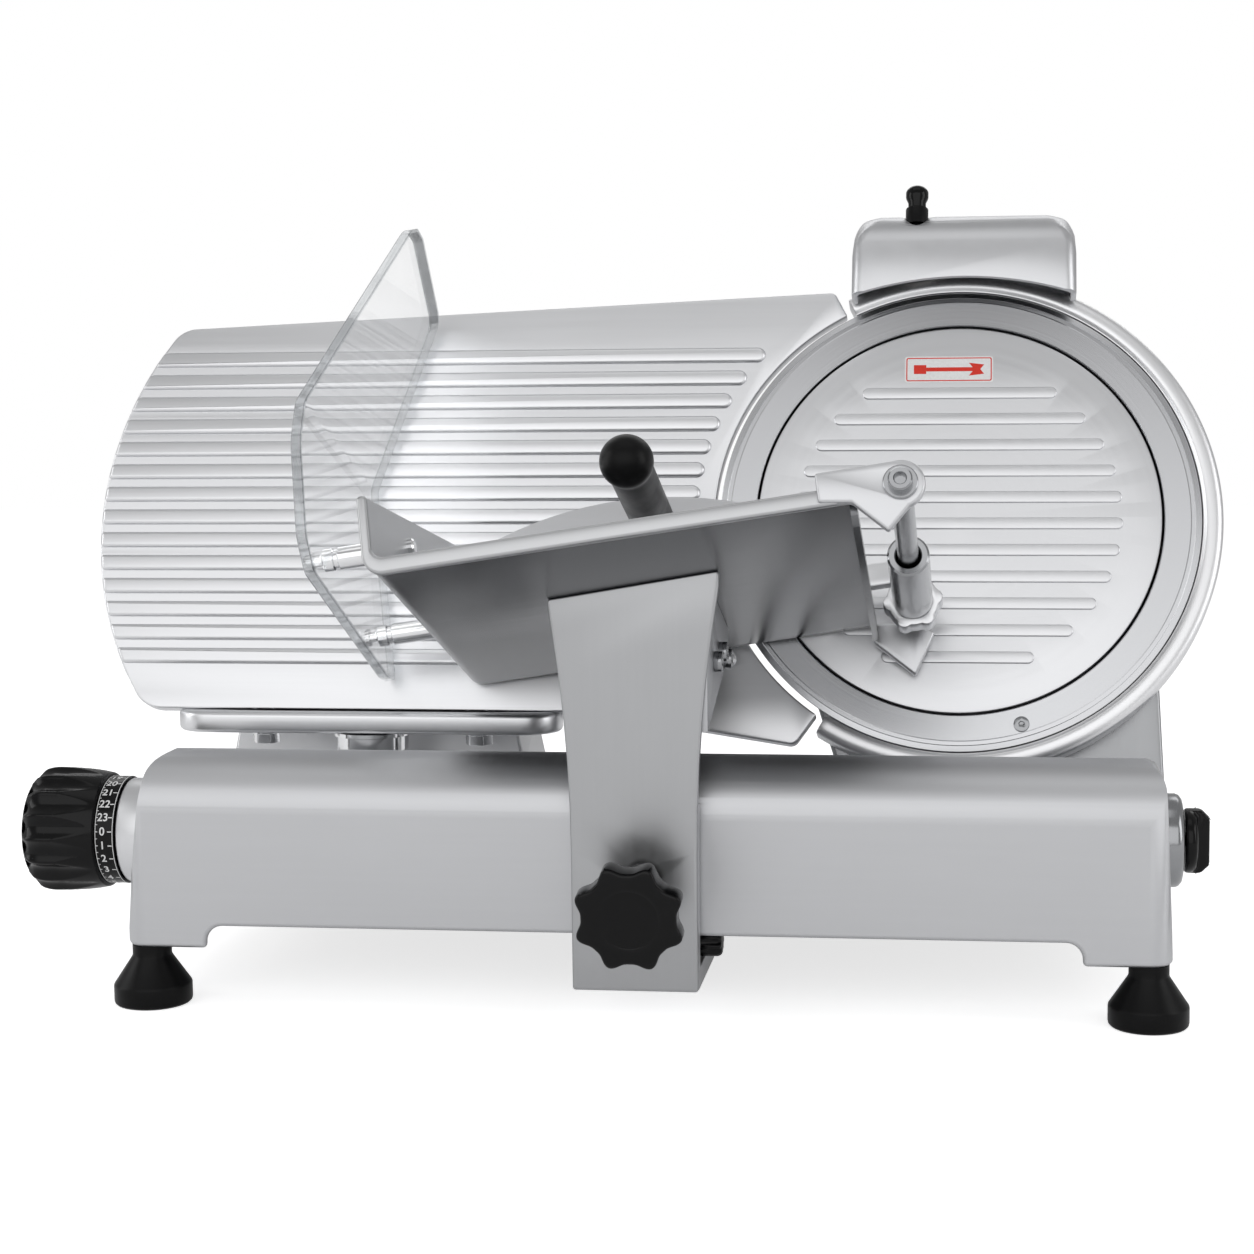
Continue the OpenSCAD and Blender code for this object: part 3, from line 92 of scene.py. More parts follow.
# %% Set the camera
PHOTO_SIDE_PX, FOCAL_PX, SHIFT_PX = 1254, 2400, -63
SENSOR_MM = 36
CAMERA_PLACE = machine(185, -1108, 310)
YAW, PITCH, TWIST = math.radians(7.0), math.radians(6.2), math.radians(-0.5)
look = Vector((-math.sin(YAW) * math.cos(PITCH), math.cos(YAW) * math.cos(PITCH), -math.sin(PITCH)))
right = Vector((math.cos(YAW), math.sin(YAW), 0))
above = right.cross(look)
right, above = (math.cos(TWIST) * right + math.sin(TWIST) * above,
                -math.sin(TWIST) * right + math.cos(TWIST) * above)
bpy.ops.object.select_all(action="DESELECT")
bpy.ops.object.camera_add()
camera = bpy.context.object
camera.name = "camera"
turn = Matrix((right, above, -look)).transposed().to_4x4()
camera.matrix_world = Matrix.Translation(CAMERA_PLACE) @ turn
camera.data.sensor_width = SENSOR_MM
camera.data.lens = SENSOR_MM * FOCAL_PX / PHOTO_SIDE_PX
camera.data.shift_x = SHIFT_PX / PHOTO_SIDE_PX
camera.data.clip_start = 0.05
bpy.context.scene.camera = camera
print("lens", round(camera.data.lens, 1))

# %% [markdown]
# ## Studio
# A product photograph has a white ground with a soft shadow, and large soft lights. The floor is one
# pale sheet. The world is white to the camera, but less than half as bright in reflections and as a
# light, so that the lamps shape the metal: a wide, low one in front gives the rolled edge of the base
# its bright band and leaves the top darker, and the others lift the ends, the back and the shadow.

# %% Floor, world and lights
def fill_inputs(tree, node, inputs):
    """Give each input its number, vector or colour, or a link from a socket."""
    for name, value in inputs.items():
        if isinstance(value, bpy.types.NodeSocket):
            tree.links.new(value, node.inputs[name])
        else:
            node.inputs[name].default_value = value


def add_node(tree, kind, inputs, **settings):
    """Outputs of a new node, once its settings are made and its inputs are filled."""
    node = tree.nodes.new(kind)
    for name, value in settings.items():
        setattr(node, name, value)
    fill_inputs(tree, node, inputs)
    return node.outputs


def ray_share(tree, kind):
    return add_node(tree, "ShaderNodeLightPath", {})[kind]


def blended(tree, share, without, full):
    """A value that goes from one number or socket to another as a share goes from 0 to 1."""
    return add_node(tree, "ShaderNodeMix", {"Factor": share, "A": without, "B": full})["Result"]


def room_strength(tree, seen, mirrored, lit):
    """Strength of the room to the eye and through clear sheet, in reflections, and as a light."""
    lit_or_mirrored = blended(tree, ray_share(tree, "Is Glossy Ray"), lit, mirrored)
    through = blended(tree, ray_share(tree, "Is Transmission Ray"), lit_or_mirrored, seen)
    return blended(tree, ray_share(tree, "Is Camera Ray"), through, seen)


world = bpy.data.worlds.new("studio")
bpy.context.scene.world = world
world.use_nodes = True
tree = world.node_tree
room_light = room_strength(tree, 1.0, 0.45, 0.35)
fill_inputs(tree, tree.nodes["Background"], {"Color": (1, 1, 1, 1), "Strength": room_light})

bpy.ops.object.select_all(action="DESELECT")
bpy.ops.mesh.primitive_plane_add(size=8)
floor = bpy.context.object
floor.name = "floor"
paper = bpy.data.materials.new("paper")
paper.use_nodes = True
tree = paper.node_tree
paper_glow = room_strength(tree, 0.72, 0.2, 0.0)
fill_inputs(tree, tree.nodes["Principled BSDF"], {
    "Base Color": (0.9, 0.9, 0.905, 1), "Roughness": 0.9, "Specular IOR Level": 0.1,
    "Emission Color": (1, 1, 1, 1), "Emission Strength": paper_glow})
floor.data.materials.append(paper)


def soft_light(name, place, aim, size, power):
    bpy.ops.object.select_all(action="DESELECT")
    bpy.ops.object.light_add(type="AREA", location=place)
    lamp = bpy.context.object
    lamp.name = name
    lamp.data.shape = "RECTANGLE"
    lamp.data.size, lamp.data.size_y = size
    lamp.data.energy = power
    lamp.rotation_euler = (Vector(aim) - Vector(place)).to_track_quat("-Z", "Y").to_euler()


soft_light("front_light", (-0.1, -1.7, 0.85), (0, 0, 0.3), (3.0, 1.5), 14)
soft_light("top_light", (0.0, -0.35, 1.8), (0, 0, 0.1), (1.6, 0.7), 2.2)
soft_light("right_light", (1.7, -0.4, 0.7), (0, 0, 0.2), (0.8, 1.2), 6)
soft_light("left_light", (-1.8, -0.3, 0.7), (0, 0, 0.2), (0.8, 1.2), 6)
soft_light("back_light", (0.0, 1.3, 1.3), (0, 0, 0.2), (2.4, 0.5), 5)
bpy.context.scene.view_settings.view_transform = "Standard"

# %% [markdown]
# ## Finishes
# Most of the machine is aluminium: cast and satin-brushed on the base, finer on the plates. A brushed
# surface is made of thousands of short scratches in one direction, so a noise is stretched along that
# direction and drives the roughness, a faint change of tone and a very shallow bump. Turned steel, as
# on the blade, has its scratches in rings, so its noise reads the distance from the blade's axis.

# %% Brushed and plain metals
SCRATCH_SHARE, CLOUD_SHARE = 0.6, 0.4


def new_finish(name, colour, metallic, roughness):
    finish = bpy.data.materials.new(name)
    finish.use_nodes = True
    tree = finish.node_tree
    shader = tree.nodes["Principled BSDF"]
    fill_inputs(tree, shader, {"Base Color": (*colour, 1), "Metallic": metallic, "Roughness": roughness})
    return finish, tree, shader


def placed_coords(tree, scale=(1, 1, 1), frame_matrix=None):
    """Object coordinates, turned into a leaning frame if one is given, then stretched."""
    out = add_node(tree, "ShaderNodeTexCoord", {})["Object"]
    if frame_matrix is not None:
        back = frame_matrix.inverted()
        turned = back.to_3x3().normalized().to_euler("XYZ")
        moves = {"Vector": out, "Location": back.translation * MM, "Rotation": turned}
        out = add_node(tree, "ShaderNodeMapping", moves)["Vector"]
    return add_node(tree, "ShaderNodeMapping", {"Vector": out, "Scale": scale})["Vector"]


def speckle(tree, vector, scale, detail):
    return add_node(tree, "ShaderNodeTexNoise", {"Vector": vector, "Scale": scale, "Detail": detail})["Fac"]


def spread(tree, noise, low, high):
    """The middle range of a noise, spread from a low value to a high one."""
    limits = {"From Min": 0.3, "From Max": 0.7, "To Min": low, "To Max": high}
    return add_node(tree, "ShaderNodeMapRange", {"Value": noise, **limits})["Result"]


def shade(colour, factor):
    return (*(min(1, c * factor) for c in colour), 1)


def tint(tree, shader, noise, colour, dark, light):
    """Base colour that wanders between two close tones."""
    tones = {"Factor": spread(tree, noise, 0, 1), "A": shade(colour, dark), "B": shade(colour, light)}
    tone = add_node(tree, "ShaderNodeMix", tones, data_type="RGBA")["Result"]
    fill_inputs(tree, shader, {"Base Color": tone})


def relief(tree, shader, noise, strength, depth_mm):
    shape = {"Strength": strength, "Distance": depth_mm * MM, "Height": noise}
    fill_inputs(tree, shader, {"Normal": add_node(tree, "ShaderNodeBump", shape)["Normal"]})


def wear(tree, shader, noise, colour, roughness, wander):
    """Roughness and tone that wander together with a noise."""
    swing = 0.01 + wander
    fill_inputs(tree, shader, {"Roughness": spread(tree, noise, roughness - swing, roughness + swing)})
    tint(tree, shader, noise, colour, 1 - wander, 1 + wander)


def brushed(name, colour, roughness, scale, frame_matrix=None, wander=0.05, bite=0.25):
    """Metal with scratches in one direction, over a slow cloud of slightly different tone."""
    finish, tree, shader = new_finish(name, colour, 1.0, roughness)
    scratch = speckle(tree, placed_coords(tree, scale, frame_matrix), 1.0, 4.0)
    cloud = speckle(tree, placed_coords(tree, (9, 9, 9)), 1.0, 2.0)
    part = add_node(tree, "ShaderNodeMath", {0: cloud, 1: CLOUD_SHARE}, operation="MULTIPLY")[0]
    terms = {0: scratch, 1: SCRATCH_SHARE, 2: part}
    both = add_node(tree, "ShaderNodeMath", terms, operation="MULTIPLY_ADD")[0]
    wear(tree, shader, both, colour, roughness, wander)
    relief(tree, shader, scratch, bite, 0.05)
    return finish


def vector_maths(tree, operation, *values):
    return add_node(tree, "ShaderNodeVectorMath", dict(enumerate(values)), operation=operation)


def turned_metal(name, colour, roughness, axis_frame, ring_scale, wander, bite, glide):
    """Metal with scratches in rings about the z axis of a frame."""
    finish, tree, shader = new_finish(name, colour, 1.0, roughness)
    flat = vector_maths(tree, "MULTIPLY", placed_coords(tree, (1, 1, 1), axis_frame), (1, 1, 0))["Vector"]
    radius = vector_maths(tree, "LENGTH", flat)["Value"]
    rings = add_node(tree, "ShaderNodeTexNoise", {"W": radius, "Scale": ring_scale, "Detail": 5.0},
                     noise_dimensions="1D")["Fac"]
    wear(tree, shader, rings, colour, roughness, wander)
    relief(tree, shader, rings, bite, 0.04)
    axis = axis_frame.to_3x3().col[2].normalized()
    here = add_node(tree, "ShaderNodeTexCoord", {})["Object"]
    outward = vector_maths(tree, "SUBTRACT", here, axis_frame.translation)["Vector"]
    around = vector_maths(tree, "CROSS_PRODUCT", axis, outward)["Vector"]
    fill_inputs(tree, shader, {"Anisotropic": glide, "Tangent": around})
    return finish


cast_silver = brushed("cast_silver", (0.545, 0.55, 0.565), 0.43, (14, 420, 420), None, 0.015, 0.06)
arm_silver = brushed("arm_silver", (0.43, 0.435, 0.445), 0.34, (420, 420, 18), None, 0.015, 0.05)
sheet_silver = brushed("sheet_silver", (0.72, 0.725, 0.74), 0.34, (16, 420, 420), None, 0.02, 0.1)
# Painted shade and painted light: one tray metal in two tones, the outside dark as shade, the inside and rim
# paler as lit.
tray_painted_shade = brushed("tray_painted_shade", (0.16, 0.163, 0.17), 0.24, (18, 420, 420), TRAY, 0.01, 0.006)
tray_painted_light = brushed("tray_painted_light", (0.48, 0.485, 0.495), 0.3, (60, 60, 60), TRAY, 0.01, 0.02)
housing_silver = brushed("housing_silver", (0.34, 0.345, 0.355), 0.36, (120, 120, 120), None, 0.02, 0.06)
pusher_silver = brushed("pusher_silver", (0.60, 0.605, 0.62), 0.34, (10, 520, 520), None, 0.015, 0.05)
plate_silver = brushed("plate_silver", (0.72, 0.725, 0.74), 0.36, (10, 520, 520), None, 0.015, 0.06)
pale_casting = brushed("pale_casting", (0.60, 0.605, 0.62), 0.38, (120, 120, 120), None, 0.02, 0.08)
cover_silver = turned_metal("cover_silver", (0.67, 0.675, 0.69), 0.36, BLADE, 300, 0.01, 0.004, 0.3)
blade_steel = turned_metal("blade_steel", (0.53, 0.535, 0.55), 0.24, BLADE, 900, 0.012, 0.012, 0.7)
guard_silver = turned_metal("guard_silver", (0.78, 0.783, 0.795), 0.38, BLADE, 500, 0.012, 0.02, 0.3)
machined_steel = brushed("machined_steel", (0.31, 0.315, 0.325), 0.18, (300, 300, 300), None, 0.02, 0.06)
chrome = brushed("chrome", (0.80, 0.805, 0.815), 0.12, (180, 180, 180), None, 0.02, 0.06)
dark_metal = brushed("dark_metal", (0.10, 0.10, 0.105), 0.45, (260, 260, 260))
brass = brushed("brass", (0.62, 0.45, 0.22), 0.3, (260, 260, 260))
print("metals", len(bpy.data.materials))

# %% [markdown]
# ## Plastic, rubber and clear sheet
# The knobs are black moulded plastic with a fine spark-eroded grain, the feet are duller rubber, and
# the guard is a clear sheet. The grain is a noise a few tenths of a millimetre across. Clear sheet lets
# light straight through under a glossy coat, and to a lamp it is a plain clear film, so that its shadow
# stays faint. Its polished edge is the same with a darker tint, and the line along the edge is darker
# still: both are painted shade for the darkening that light gives at a clear edge.

# %% Plastic, rubber, stone and clear sheet
def moulded(name, colour, roughness, grain, bite, wander=0.25, gloss=0.3):
    finish, tree, shader = new_finish(name, colour, 0.0, roughness)
    fine = speckle(tree, placed_coords(tree), grain, 2.0)
    cloud = speckle(tree, placed_coords(tree), 60, 3.0)
    cloudy = spread(tree, cloud, roughness - 0.05, roughness + 0.08)
    fill_inputs(tree, shader, {"Roughness": cloudy, "Specular IOR Level": gloss})
    tint(tree, shader, fine, colour, 1 - wander, 1 + wander)
    relief(tree, shader, fine, bite, 0.06)
    return finish


black_plastic = moulded("black_plastic", (0.0025, 0.0025, 0.0028), 0.16, 2600, 0.06, 0.25, 0.2)
black_rubber = moulded("black_rubber", (0.003, 0.003, 0.0033), 0.34, 1800, 0.2, 0.25, 0.14)
grey_stone = moulded("grey_stone", (0.30, 0.29, 0.28), 0.85, 1500, 0.7)


def clear_plastic(name, colour):
    finish, tree, shader = new_finish(name, colour, 0.0, 0.02)
    fill_inputs(tree, shader, {"Transmission Weight": 1.0, "IOR": 1.01, "Coat Weight": 0.8,
                               "Coat Roughness": 0.04})
    tint(tree, shader, speckle(tree, placed_coords(tree), 26, 3.0), colour, 0.985, 1.01)
    film = add_node(tree, "ShaderNodeBsdfTransparent", {"Color": (*colour, 1)})["BSDF"]
    to_eye_or_lamp = {0: ray_share(tree, "Is Shadow Ray"), 1: shader.outputs["BSDF"], 2: film}
    surface = add_node(tree, "ShaderNodeMixShader", to_eye_or_lamp)["Shader"]
    fill_inputs(tree, tree.nodes["Material Output"], {"Surface": surface})
    return finish


clear_sheet = clear_plastic("clear_sheet", (0.945, 0.95, 0.955))
# Painted shade: the edge band and its line are darker tints of the clear sheet.
edge_painted_shade = clear_plastic("edge_painted_shade", (0.76, 0.775, 0.785))
line_painted_shade = clear_plastic("line_painted_shade", (0.30, 0.31, 0.32))

FINISH_OF = {
    cast_silver: "base_casting motor_cover carriage_foot arm_gussets",
    arm_silver: "carriage_arm",
    housing_silver: "drive_housing",
    sheet_silver: "post_dome gauge_bracket pusher_arm",
    tray_painted_shade: "tray_pan",
    plate_silver: "gauge_plate dial_collar",
    pusher_silver: "pusher_plate",
    pale_casting: "index_housing sharpener_housing rod_brackets",
    cover_silver: "blade_cover",
    blade_steel: "blade",
    guard_silver: "ring_guard",
    machined_steel: "spindle blade_hub motor_pulley motor_rotor index_cam dial_shaft guide_rail switch_bezel "
                    "pusher_rod pusher_sleeve carriage_bolts housing_screws blade_screws",
    chrome: "slide_rod guide_shaft gauge_post gauge_bolts guard_spacers spindle_bearings",
    dark_metal: "bottom_cover motor_stator slider_block carriage_block switch_body",
    brass: "slide_bushes",
    black_plastic: "dial_grip dial_ring switch_knob release_knob star_knob lock_knob sharpener_button "
                   "cooling_fan guide_roller",
    black_rubber: "feet pusher_grip drive_belt cord_gland button_seat",
    clear_sheet: "clear_guard",
    grey_stone: "grinding_stone",
}
for finish, names in FINISH_OF.items():
    for name in names.split():
        solid = nodes[name]
        solid.data.materials.clear()
        solid.data.materials.append(finish)
print("solids finished", sum(len(n.split()) for n in FINISH_OF.values()))

# %% [markdown]
# ## Modelling helpers
# Three ways of making a shape cover most of this machine. A flat outline is filled and extruded, a
# section is spun round an axis, and a solid of the CAD model is copied and has its edges softened. Each
# starts from a primitive or a solid, is worked in millimetres, and is then laid in place in its mesh, so
# that the finished object itself sits at the origin.

# %% Helpers for outlines, turned shapes and soft edges
def pick(piece):
    if bpy.context.mode != "OBJECT":
        bpy.ops.object.mode_set(mode="OBJECT")
    bpy.ops.object.select_all(action="DESELECT")
    piece.select_set(True)
    bpy.context.view_layer.objects.active = piece


def edit(piece):
    pick(piece)
    bpy.ops.object.mode_set(mode="EDIT")
    bpy.ops.mesh.select_all(action="SELECT")


def done(outward=False):
    if outward:
        bpy.ops.mesh.select_all(action="SELECT")
        bpy.ops.mesh.normals_make_consistent(inside=False)
    bpy.ops.object.mode_set(mode="OBJECT")


def primitive_ring(name, points, filled):
    """A circle with as many corners as there are points, its corners moved to the points."""
    if bpy.context.mode != "OBJECT":
        bpy.ops.object.mode_set(mode="OBJECT")
    bpy.ops.object.select_all(action="DESELECT")
    bpy.ops.mesh.primitive_circle_add(vertices=len(points), radius=1,
                                      fill_type="NGON" if filled else "NOTHING")
    piece = bpy.context.object
    piece.name = name
    for corner, point in zip(piece.data.vertices, points):
        corner.co = point
    return piece


def slab(name, points, low, high):
    """An outline in x and y, extruded from one height to another."""
    piece = primitive_ring(name, [(x, y, low) for x, y in points], True)
    edit(piece)
    bpy.ops.mesh.extrude_region_move(TRANSFORM_OT_translate={"value": (0, 0, high - low)})
    done(outward=True)
    return piece


def spun(name, profile, steps, closed=False, start=0.0, sweep=2 * math.pi):
    """A section of radius and height, spun round the z axis."""
    piece = primitive_ring(name, [(r * math.cos(start), r * math.sin(start), z) for r, z in profile], False)
    edit(piece)
    if not closed:
        bpy.ops.object.mode_set(mode="OBJECT")
        last = len(profile) - 1
        for corner in piece.data.vertices:
            corner.select = False
        for edge in piece.data.edges:
            edge.select = set(edge.vertices) == {0, last}
        bpy.ops.object.mode_set(mode="EDIT")
        bpy.ops.mesh.select_mode(type="EDGE")
        bpy.ops.mesh.delete(type="EDGE_FACE")
        bpy.ops.mesh.select_mode(type="VERT")
        bpy.ops.mesh.select_all(action="SELECT")
    bpy.ops.mesh.spin(steps=steps, angle=-sweep, center=(0, 0, 0), axis=(0, 0, 1))
    bpy.ops.mesh.select_all(action="SELECT")
    bpy.ops.mesh.remove_doubles(threshold=1e-4)
    if sweep < 2 * math.pi - 1e-6:
        bpy.ops.mesh.select_all(action="DESELECT")
        bpy.ops.mesh.select_non_manifold()
        bpy.ops.mesh.edge_face_add()
    done(outward=True)
    return piece


def apply_modifier(piece, kind, **settings):
    pick(piece)
    modifier = piece.modifiers.new(kind.lower(), kind)
    for key, value in settings.items():
        setattr(modifier, key, value)
    bpy.ops.object.modifier_apply(modifier=modifier.name)


def soft_edges(piece, width, segments=3, angle=30):
    apply_modifier(piece, "BEVEL", width=width, segments=segments, limit_method="ANGLE",
                   angle_limit=math.radians(angle), use_clamp_overlap=False)
    return piece


def weighted_bevel(piece, width, segments):
    apply_modifier(piece, "BEVEL", width=width, segments=segments, limit_method="WEIGHT",
                   use_clamp_overlap=False)


def join(pieces):
    pick(pieces[0])
    for piece in pieces[1:]:
        piece.select_set(True)
    bpy.ops.object.join()
    return bpy.context.object


def combine(base, other, operation="UNION"):
    """Boolean of one closed mesh with another, which is used up."""
    apply_modifier(base, "BOOLEAN", operation=operation, solver="EXACT", object=other)
    bpy.data.objects.remove(other)
    return base


def copied(node, name):
    """A free copy of a CAD solid with its shells merged and its flat faces made whole."""
    pick(nodes[node])
    bpy.ops.object.duplicate()
    piece = bpy.context.object
    piece.parent = None
    del piece["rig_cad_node"]
    piece.name = name
    edit(piece)
    bpy.ops.mesh.customdata_custom_splitnormals_clear()
    bpy.ops.mesh.remove_doubles(threshold=2e-6)
    bpy.ops.mesh.dissolve_limited(angle_limit=math.radians(0.5))
    done(outward=True)
    return piece


def settle(piece, place, body, finish, replaced, angle=35):
    """Lay a piece in the shared frame, give it its finish and let it move with its body."""
    piece.data.transform(place)
    piece.data.materials.clear()
    piece.data.materials.append(finish)
    pick(piece)
    bpy.ops.object.shade_smooth_by_angle(angle=math.radians(angle))
    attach(piece, body)
    if replaced:
        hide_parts(*replaced.split())
    print(piece.name, len(piece.data.polygons), "faces")


def softened(node, width, body, finish, segments=2):
    """A CAD solid with its sharp edges rounded by a small bevel."""
    piece = soft_edges(copied(node, node + "_soft"), width * MM, segments)
    settle(piece, Matrix.Identity(4), body, finish, node)


def chosen_edges(piece, width, segments, angle, wanted):
    """A bevel on the sharp edges whose middle is in a wanted place."""
    edit(piece)
    bpy.ops.mesh.select_mode(type="EDGE")
    bpy.ops.mesh.select_all(action="DESELECT")
    bpy.ops.mesh.edges_select_sharp(sharpness=math.radians(angle))
    bpy.ops.object.mode_set(mode="OBJECT")
    weights = piece.data.attributes.new("bevel_weight_edge", "FLOAT", "EDGE")
    for edge in piece.data.edges:
        a, b = (piece.data.vertices[i].co for i in edge.vertices)
        weights.data[edge.index].value = 1.0 if edge.select and wanted((a + b) / 2) else 0.0
    weighted_bevel(piece, width, segments)
    edit(piece)
    bpy.ops.mesh.select_mode(type="VERT")
    done()


def rounded(corners, steps=8):
    """Points of an outline whose corners, given as x, y and radius, are rounded."""
    out = []
    for i, (x, y, r) in enumerate(corners):
        here = Vector((x, y))
        if r == 0:
            out.append((x, y))
            continue
        back = (Vector(corners[i - 1][:2]) - here).normalized()
        ahead = (Vector(corners[(i + 1) % len(corners)][:2]) - here).normalized()
        half = back.angle(ahead) / 2
        reach = r / math.tan(half)
        middle = here + (back + ahead).normalized() * (r / math.sin(half))
        first, last = here + back * reach - middle, here + ahead * reach - middle
        one = math.atan2(first.y, first.x)
        span = math.atan2(last.y, last.x) - one
        span = (span + math.pi) % (2 * math.pi) - math.pi
        for k in range(steps + 1):
            turned = one + span * k / steps
            out.append((middle.x + r * math.cos(turned), middle.y + r * math.sin(turned)))
    return out


def arc_points(cx, cy, r, first, last, steps):
    """Points of an arc, from one angle in degrees to another."""
    turns = [math.radians(first + (last - first) * k / steps) for k in range(steps + 1)]
    return [(cx + r * math.cos(turned), cy + r * math.sin(turned)) for turned in turns]


def sharp(points):
    """Points of an outline that stay sharp, in the form that rounded takes."""
    return [(x, y, 0) for x, y in points]


def along_x_axis(x, y, z):
    """A frame whose z axis runs along the machine's X, from a point of the machine."""
    return MACHINE @ Matrix.Translation((x, y, z)) @ Matrix.Rotation(math.pi / 2, 4, "Y")


def upright(x, y, z):
    """A frame whose z axis points up from a point of the machine."""
    return MACHINE @ Matrix.Translation((x, y, z))

# %% [markdown]
# ## Gauge plate
# The food leans on this plate, whose depth behind the blade sets the slice. Its left side is a long
# arc, its right side follows the blade, and a small hook reaches under the blade. Fourteen flat-topped
# ribs with round ends run across it. Plate and ribs are extruded outlines: the ribs' edges are bevelled
# widely, so that they look like soft waves, and then all is made one body with a boolean union.

# %% Plate with ribs
BLADE_GAP_R = 128
PLATE_BACK, PLATE_FACE = -10, -2
PLATE_LOW = -105.5
LEFT_ARC_X, LEFT_ARC_R = -279.5, 185
RIB_COUNT, RIB_FIRST, RIB_PITCH, RIB_HALF = 14, 91, 12.9, 4.3
RIB_END_R = 141
RIB_ARC_R = LEFT_ARC_R - 0.8
left_arc = arc_points(LEFT_ARC_X, 0, LEFT_ARC_R, 151, 207, 16)
hollow = arc_points(0, 0, BLADE_GAP_R, 235.8, 117.9, 56)
top_corners = [(-67, 126.6, 4), (-428.7, 109.4, 16)]
low_corners = [(-431.5, PLATE_LOW, 18), (-190, PLATE_LOW, 30), (-83, -122, 5)]
outline = rounded(top_corners + sharp(left_arc) + low_corners + sharp(hollow))
plate = soft_edges(slab("gauge_plate_ribbed", outline, PLATE_BACK, PLATE_FACE), 1.1, 3)
ribs = []
for i in range(RIB_COUNT):
    u = RIB_FIRST - RIB_PITCH * i
    right_end = -math.sqrt(RIB_END_R ** 2 - u ** 2)
    left_end = [(LEFT_ARC_X - math.sqrt(RIB_ARC_R ** 2 - v ** 2), v)
                for v in (u + RIB_HALF, u + 2, u - 2, u - RIB_HALF)]
    ribs.append(slab("rib", left_end + arc_points(right_end, u, RIB_HALF, -90, 90, 14), -7, 0))
ribs = soft_edges(join(ribs), 1.9, 4, 50)
plate = combine(plate, ribs)
settle(plate, BLADE, "gauge", plate_silver, "gauge_plate", 40)
softened("gauge_bracket", 2.4, "gauge", sheet_silver, 3)
softened("gauge_bolts", 0.35, "gauge", chrome)

# %% [markdown]
# ## Post and dome under the plate
# The plate stands on one polished post. Both post and the domed flange that wipes the housing are
# turned parts, so each is a section spun round its axis.

# %% Post and dome
POST_X, POST_Y = -136, 122
post_line = [(0, 92), (18.4, 92), (19, 92.6), (19, 108), (17.6, 108.6), (17.6, 109.6), (19, 110.2),
             (19, 117.4), (20.6, 117.8), (20.6, 119.8), (0, 119.8)]
post = spun("gauge_post_turned", post_line, 96)
settle(post, upright(POST_X, POST_Y, 0), "gauge", chrome, "gauge_post", 30)
dome_curve = arc_points(0, -52, 61, 58, 72, 10)
dome = spun("post_dome_turned", [(19.2, 0), (32, 0), (32.5, 0.5), (32.5, 1.2)]
            + [(r, z + 1.3) for r, z in dome_curve] + [(20, 8.4), (19.2, 8)], 96, closed=True)
settle(dome, upright(POST_X, POST_Y, 98.3), "gauge", sheet_silver, "post_dome", 40)

# %% [markdown]
# ## Blade, cover and guard band
# Blade and guard are turned parts about the leaning axis. The blade's ring is flat, falls in a ground
# bevel to the edge, and has a second, finer bevel line that catches the light. The cover's eleven
# ribs are shallow pills.

# %% Blade
blade_line = [(18, -6), (104.6, -6), (105.6, -5.2), (106.0, -0.9), (106.5, -0.3), (119.2, -0.3),
              (119.7, -0.45), (121.6, -0.52), (121.9, -0.75), (124.7, -1.3), (125, -1.45),
              (124.6, -1.7), (111, -3.3), (104, -9), (18, -9)]
blade = spun("blade_ground", blade_line, 192, closed=True)
settle(blade, BLADE, "blade", blade_steel, "blade", 14)

# %% Cover with pill ribs
PILL_COUNT, PILL_FIRST, PILL_PITCH, PILL_HALF = 11, 68, 14.35, 3.2
PILL_REACH_R = 85
cover_line = [(0, -0.5), (103.6, -0.5), (104.5, -0.8), (104.9, -1.5), (104.9, -4.4), (104.2, -4.8), (0, -4.8)]
cover = spun("blade_cover_ribbed", cover_line, 160)
pills = []
for i in range(PILL_COUNT):
    u = PILL_FIRST - PILL_PITCH * i
    reach = math.sqrt(PILL_REACH_R ** 2 - u ** 2) - PILL_HALF
    right_end = arc_points(reach, u, PILL_HALF, -90, 90, 12)
    left_end = arc_points(-reach, u, PILL_HALF, 90, 270, 12)
    pills.append(slab("pill", right_end + left_end, -4, 0.35))
pills = soft_edges(join(pills), 0.8, 4, 50)
cover = combine(cover, pills)
settle(cover, BLADE, "base", cover_silver, "blade_cover", 40)

# %% [markdown]
# A plain arrow in a thin frame shows which way the blade turns. Both are printed on a film, and film
# and print are each less than a fifth of a millimetre thick.

# %% Turning arrow
red_print = moulded("red_print", (0.68, 0.035, 0.02), 0.45, 900, 0.05, 0.05)
white_print = moulded("white_print", (0.80, 0.80, 0.80), 0.5, 900, 0.05, 0.04)


def box_outline(cx, cy, w, h, r):
    """A box of a width and a height with rounded corners."""
    left, right, low, high = cx - w / 2, cx + w / 2, cy - h / 2, cy + h / 2
    return rounded([(left, low, r), (right, low, r), (right, high, r), (left, high, r)], 5)


ARROW_X, ARROW_Y = -5.5, 81.5
PRINT_LOW, PRINT_HIGH = -0.5, -0.36
film = slab("arrow_film", box_outline(ARROW_X, ARROW_Y, 46.5, 14.6, 1.2), -0.6, -0.42)
settle(film, BLADE, "base", white_print, "")
band = slab("arrow_frame", box_outline(ARROW_X, ARROW_Y, 45, 13.1, 1), PRINT_LOW, PRINT_HIGH)
band_inside = slab("arrow_frame_inside", box_outline(ARROW_X, ARROW_Y, 43.9, 12, 0.7), -1, 0)
band = combine(band, band_inside, "DIFFERENCE")
arrow_low = [(-18.5, -2.5), (-12, -2.5), (-12, -1.1), (12.5, -1.1), (10.5, -3.6), (18.5, -2.6), (16.5, 0)]
arrow_high = [(x, -y) for x, y in arrow_low[-2::-1]]
arrow_line = [(ARROW_X + x, ARROW_Y + y) for x, y in arrow_low + arrow_high]
arrow = slab("arrow_shape", arrow_line, PRINT_LOW, PRINT_HIGH)
settle(join([band, arrow]), BLADE, "base", red_print, "")

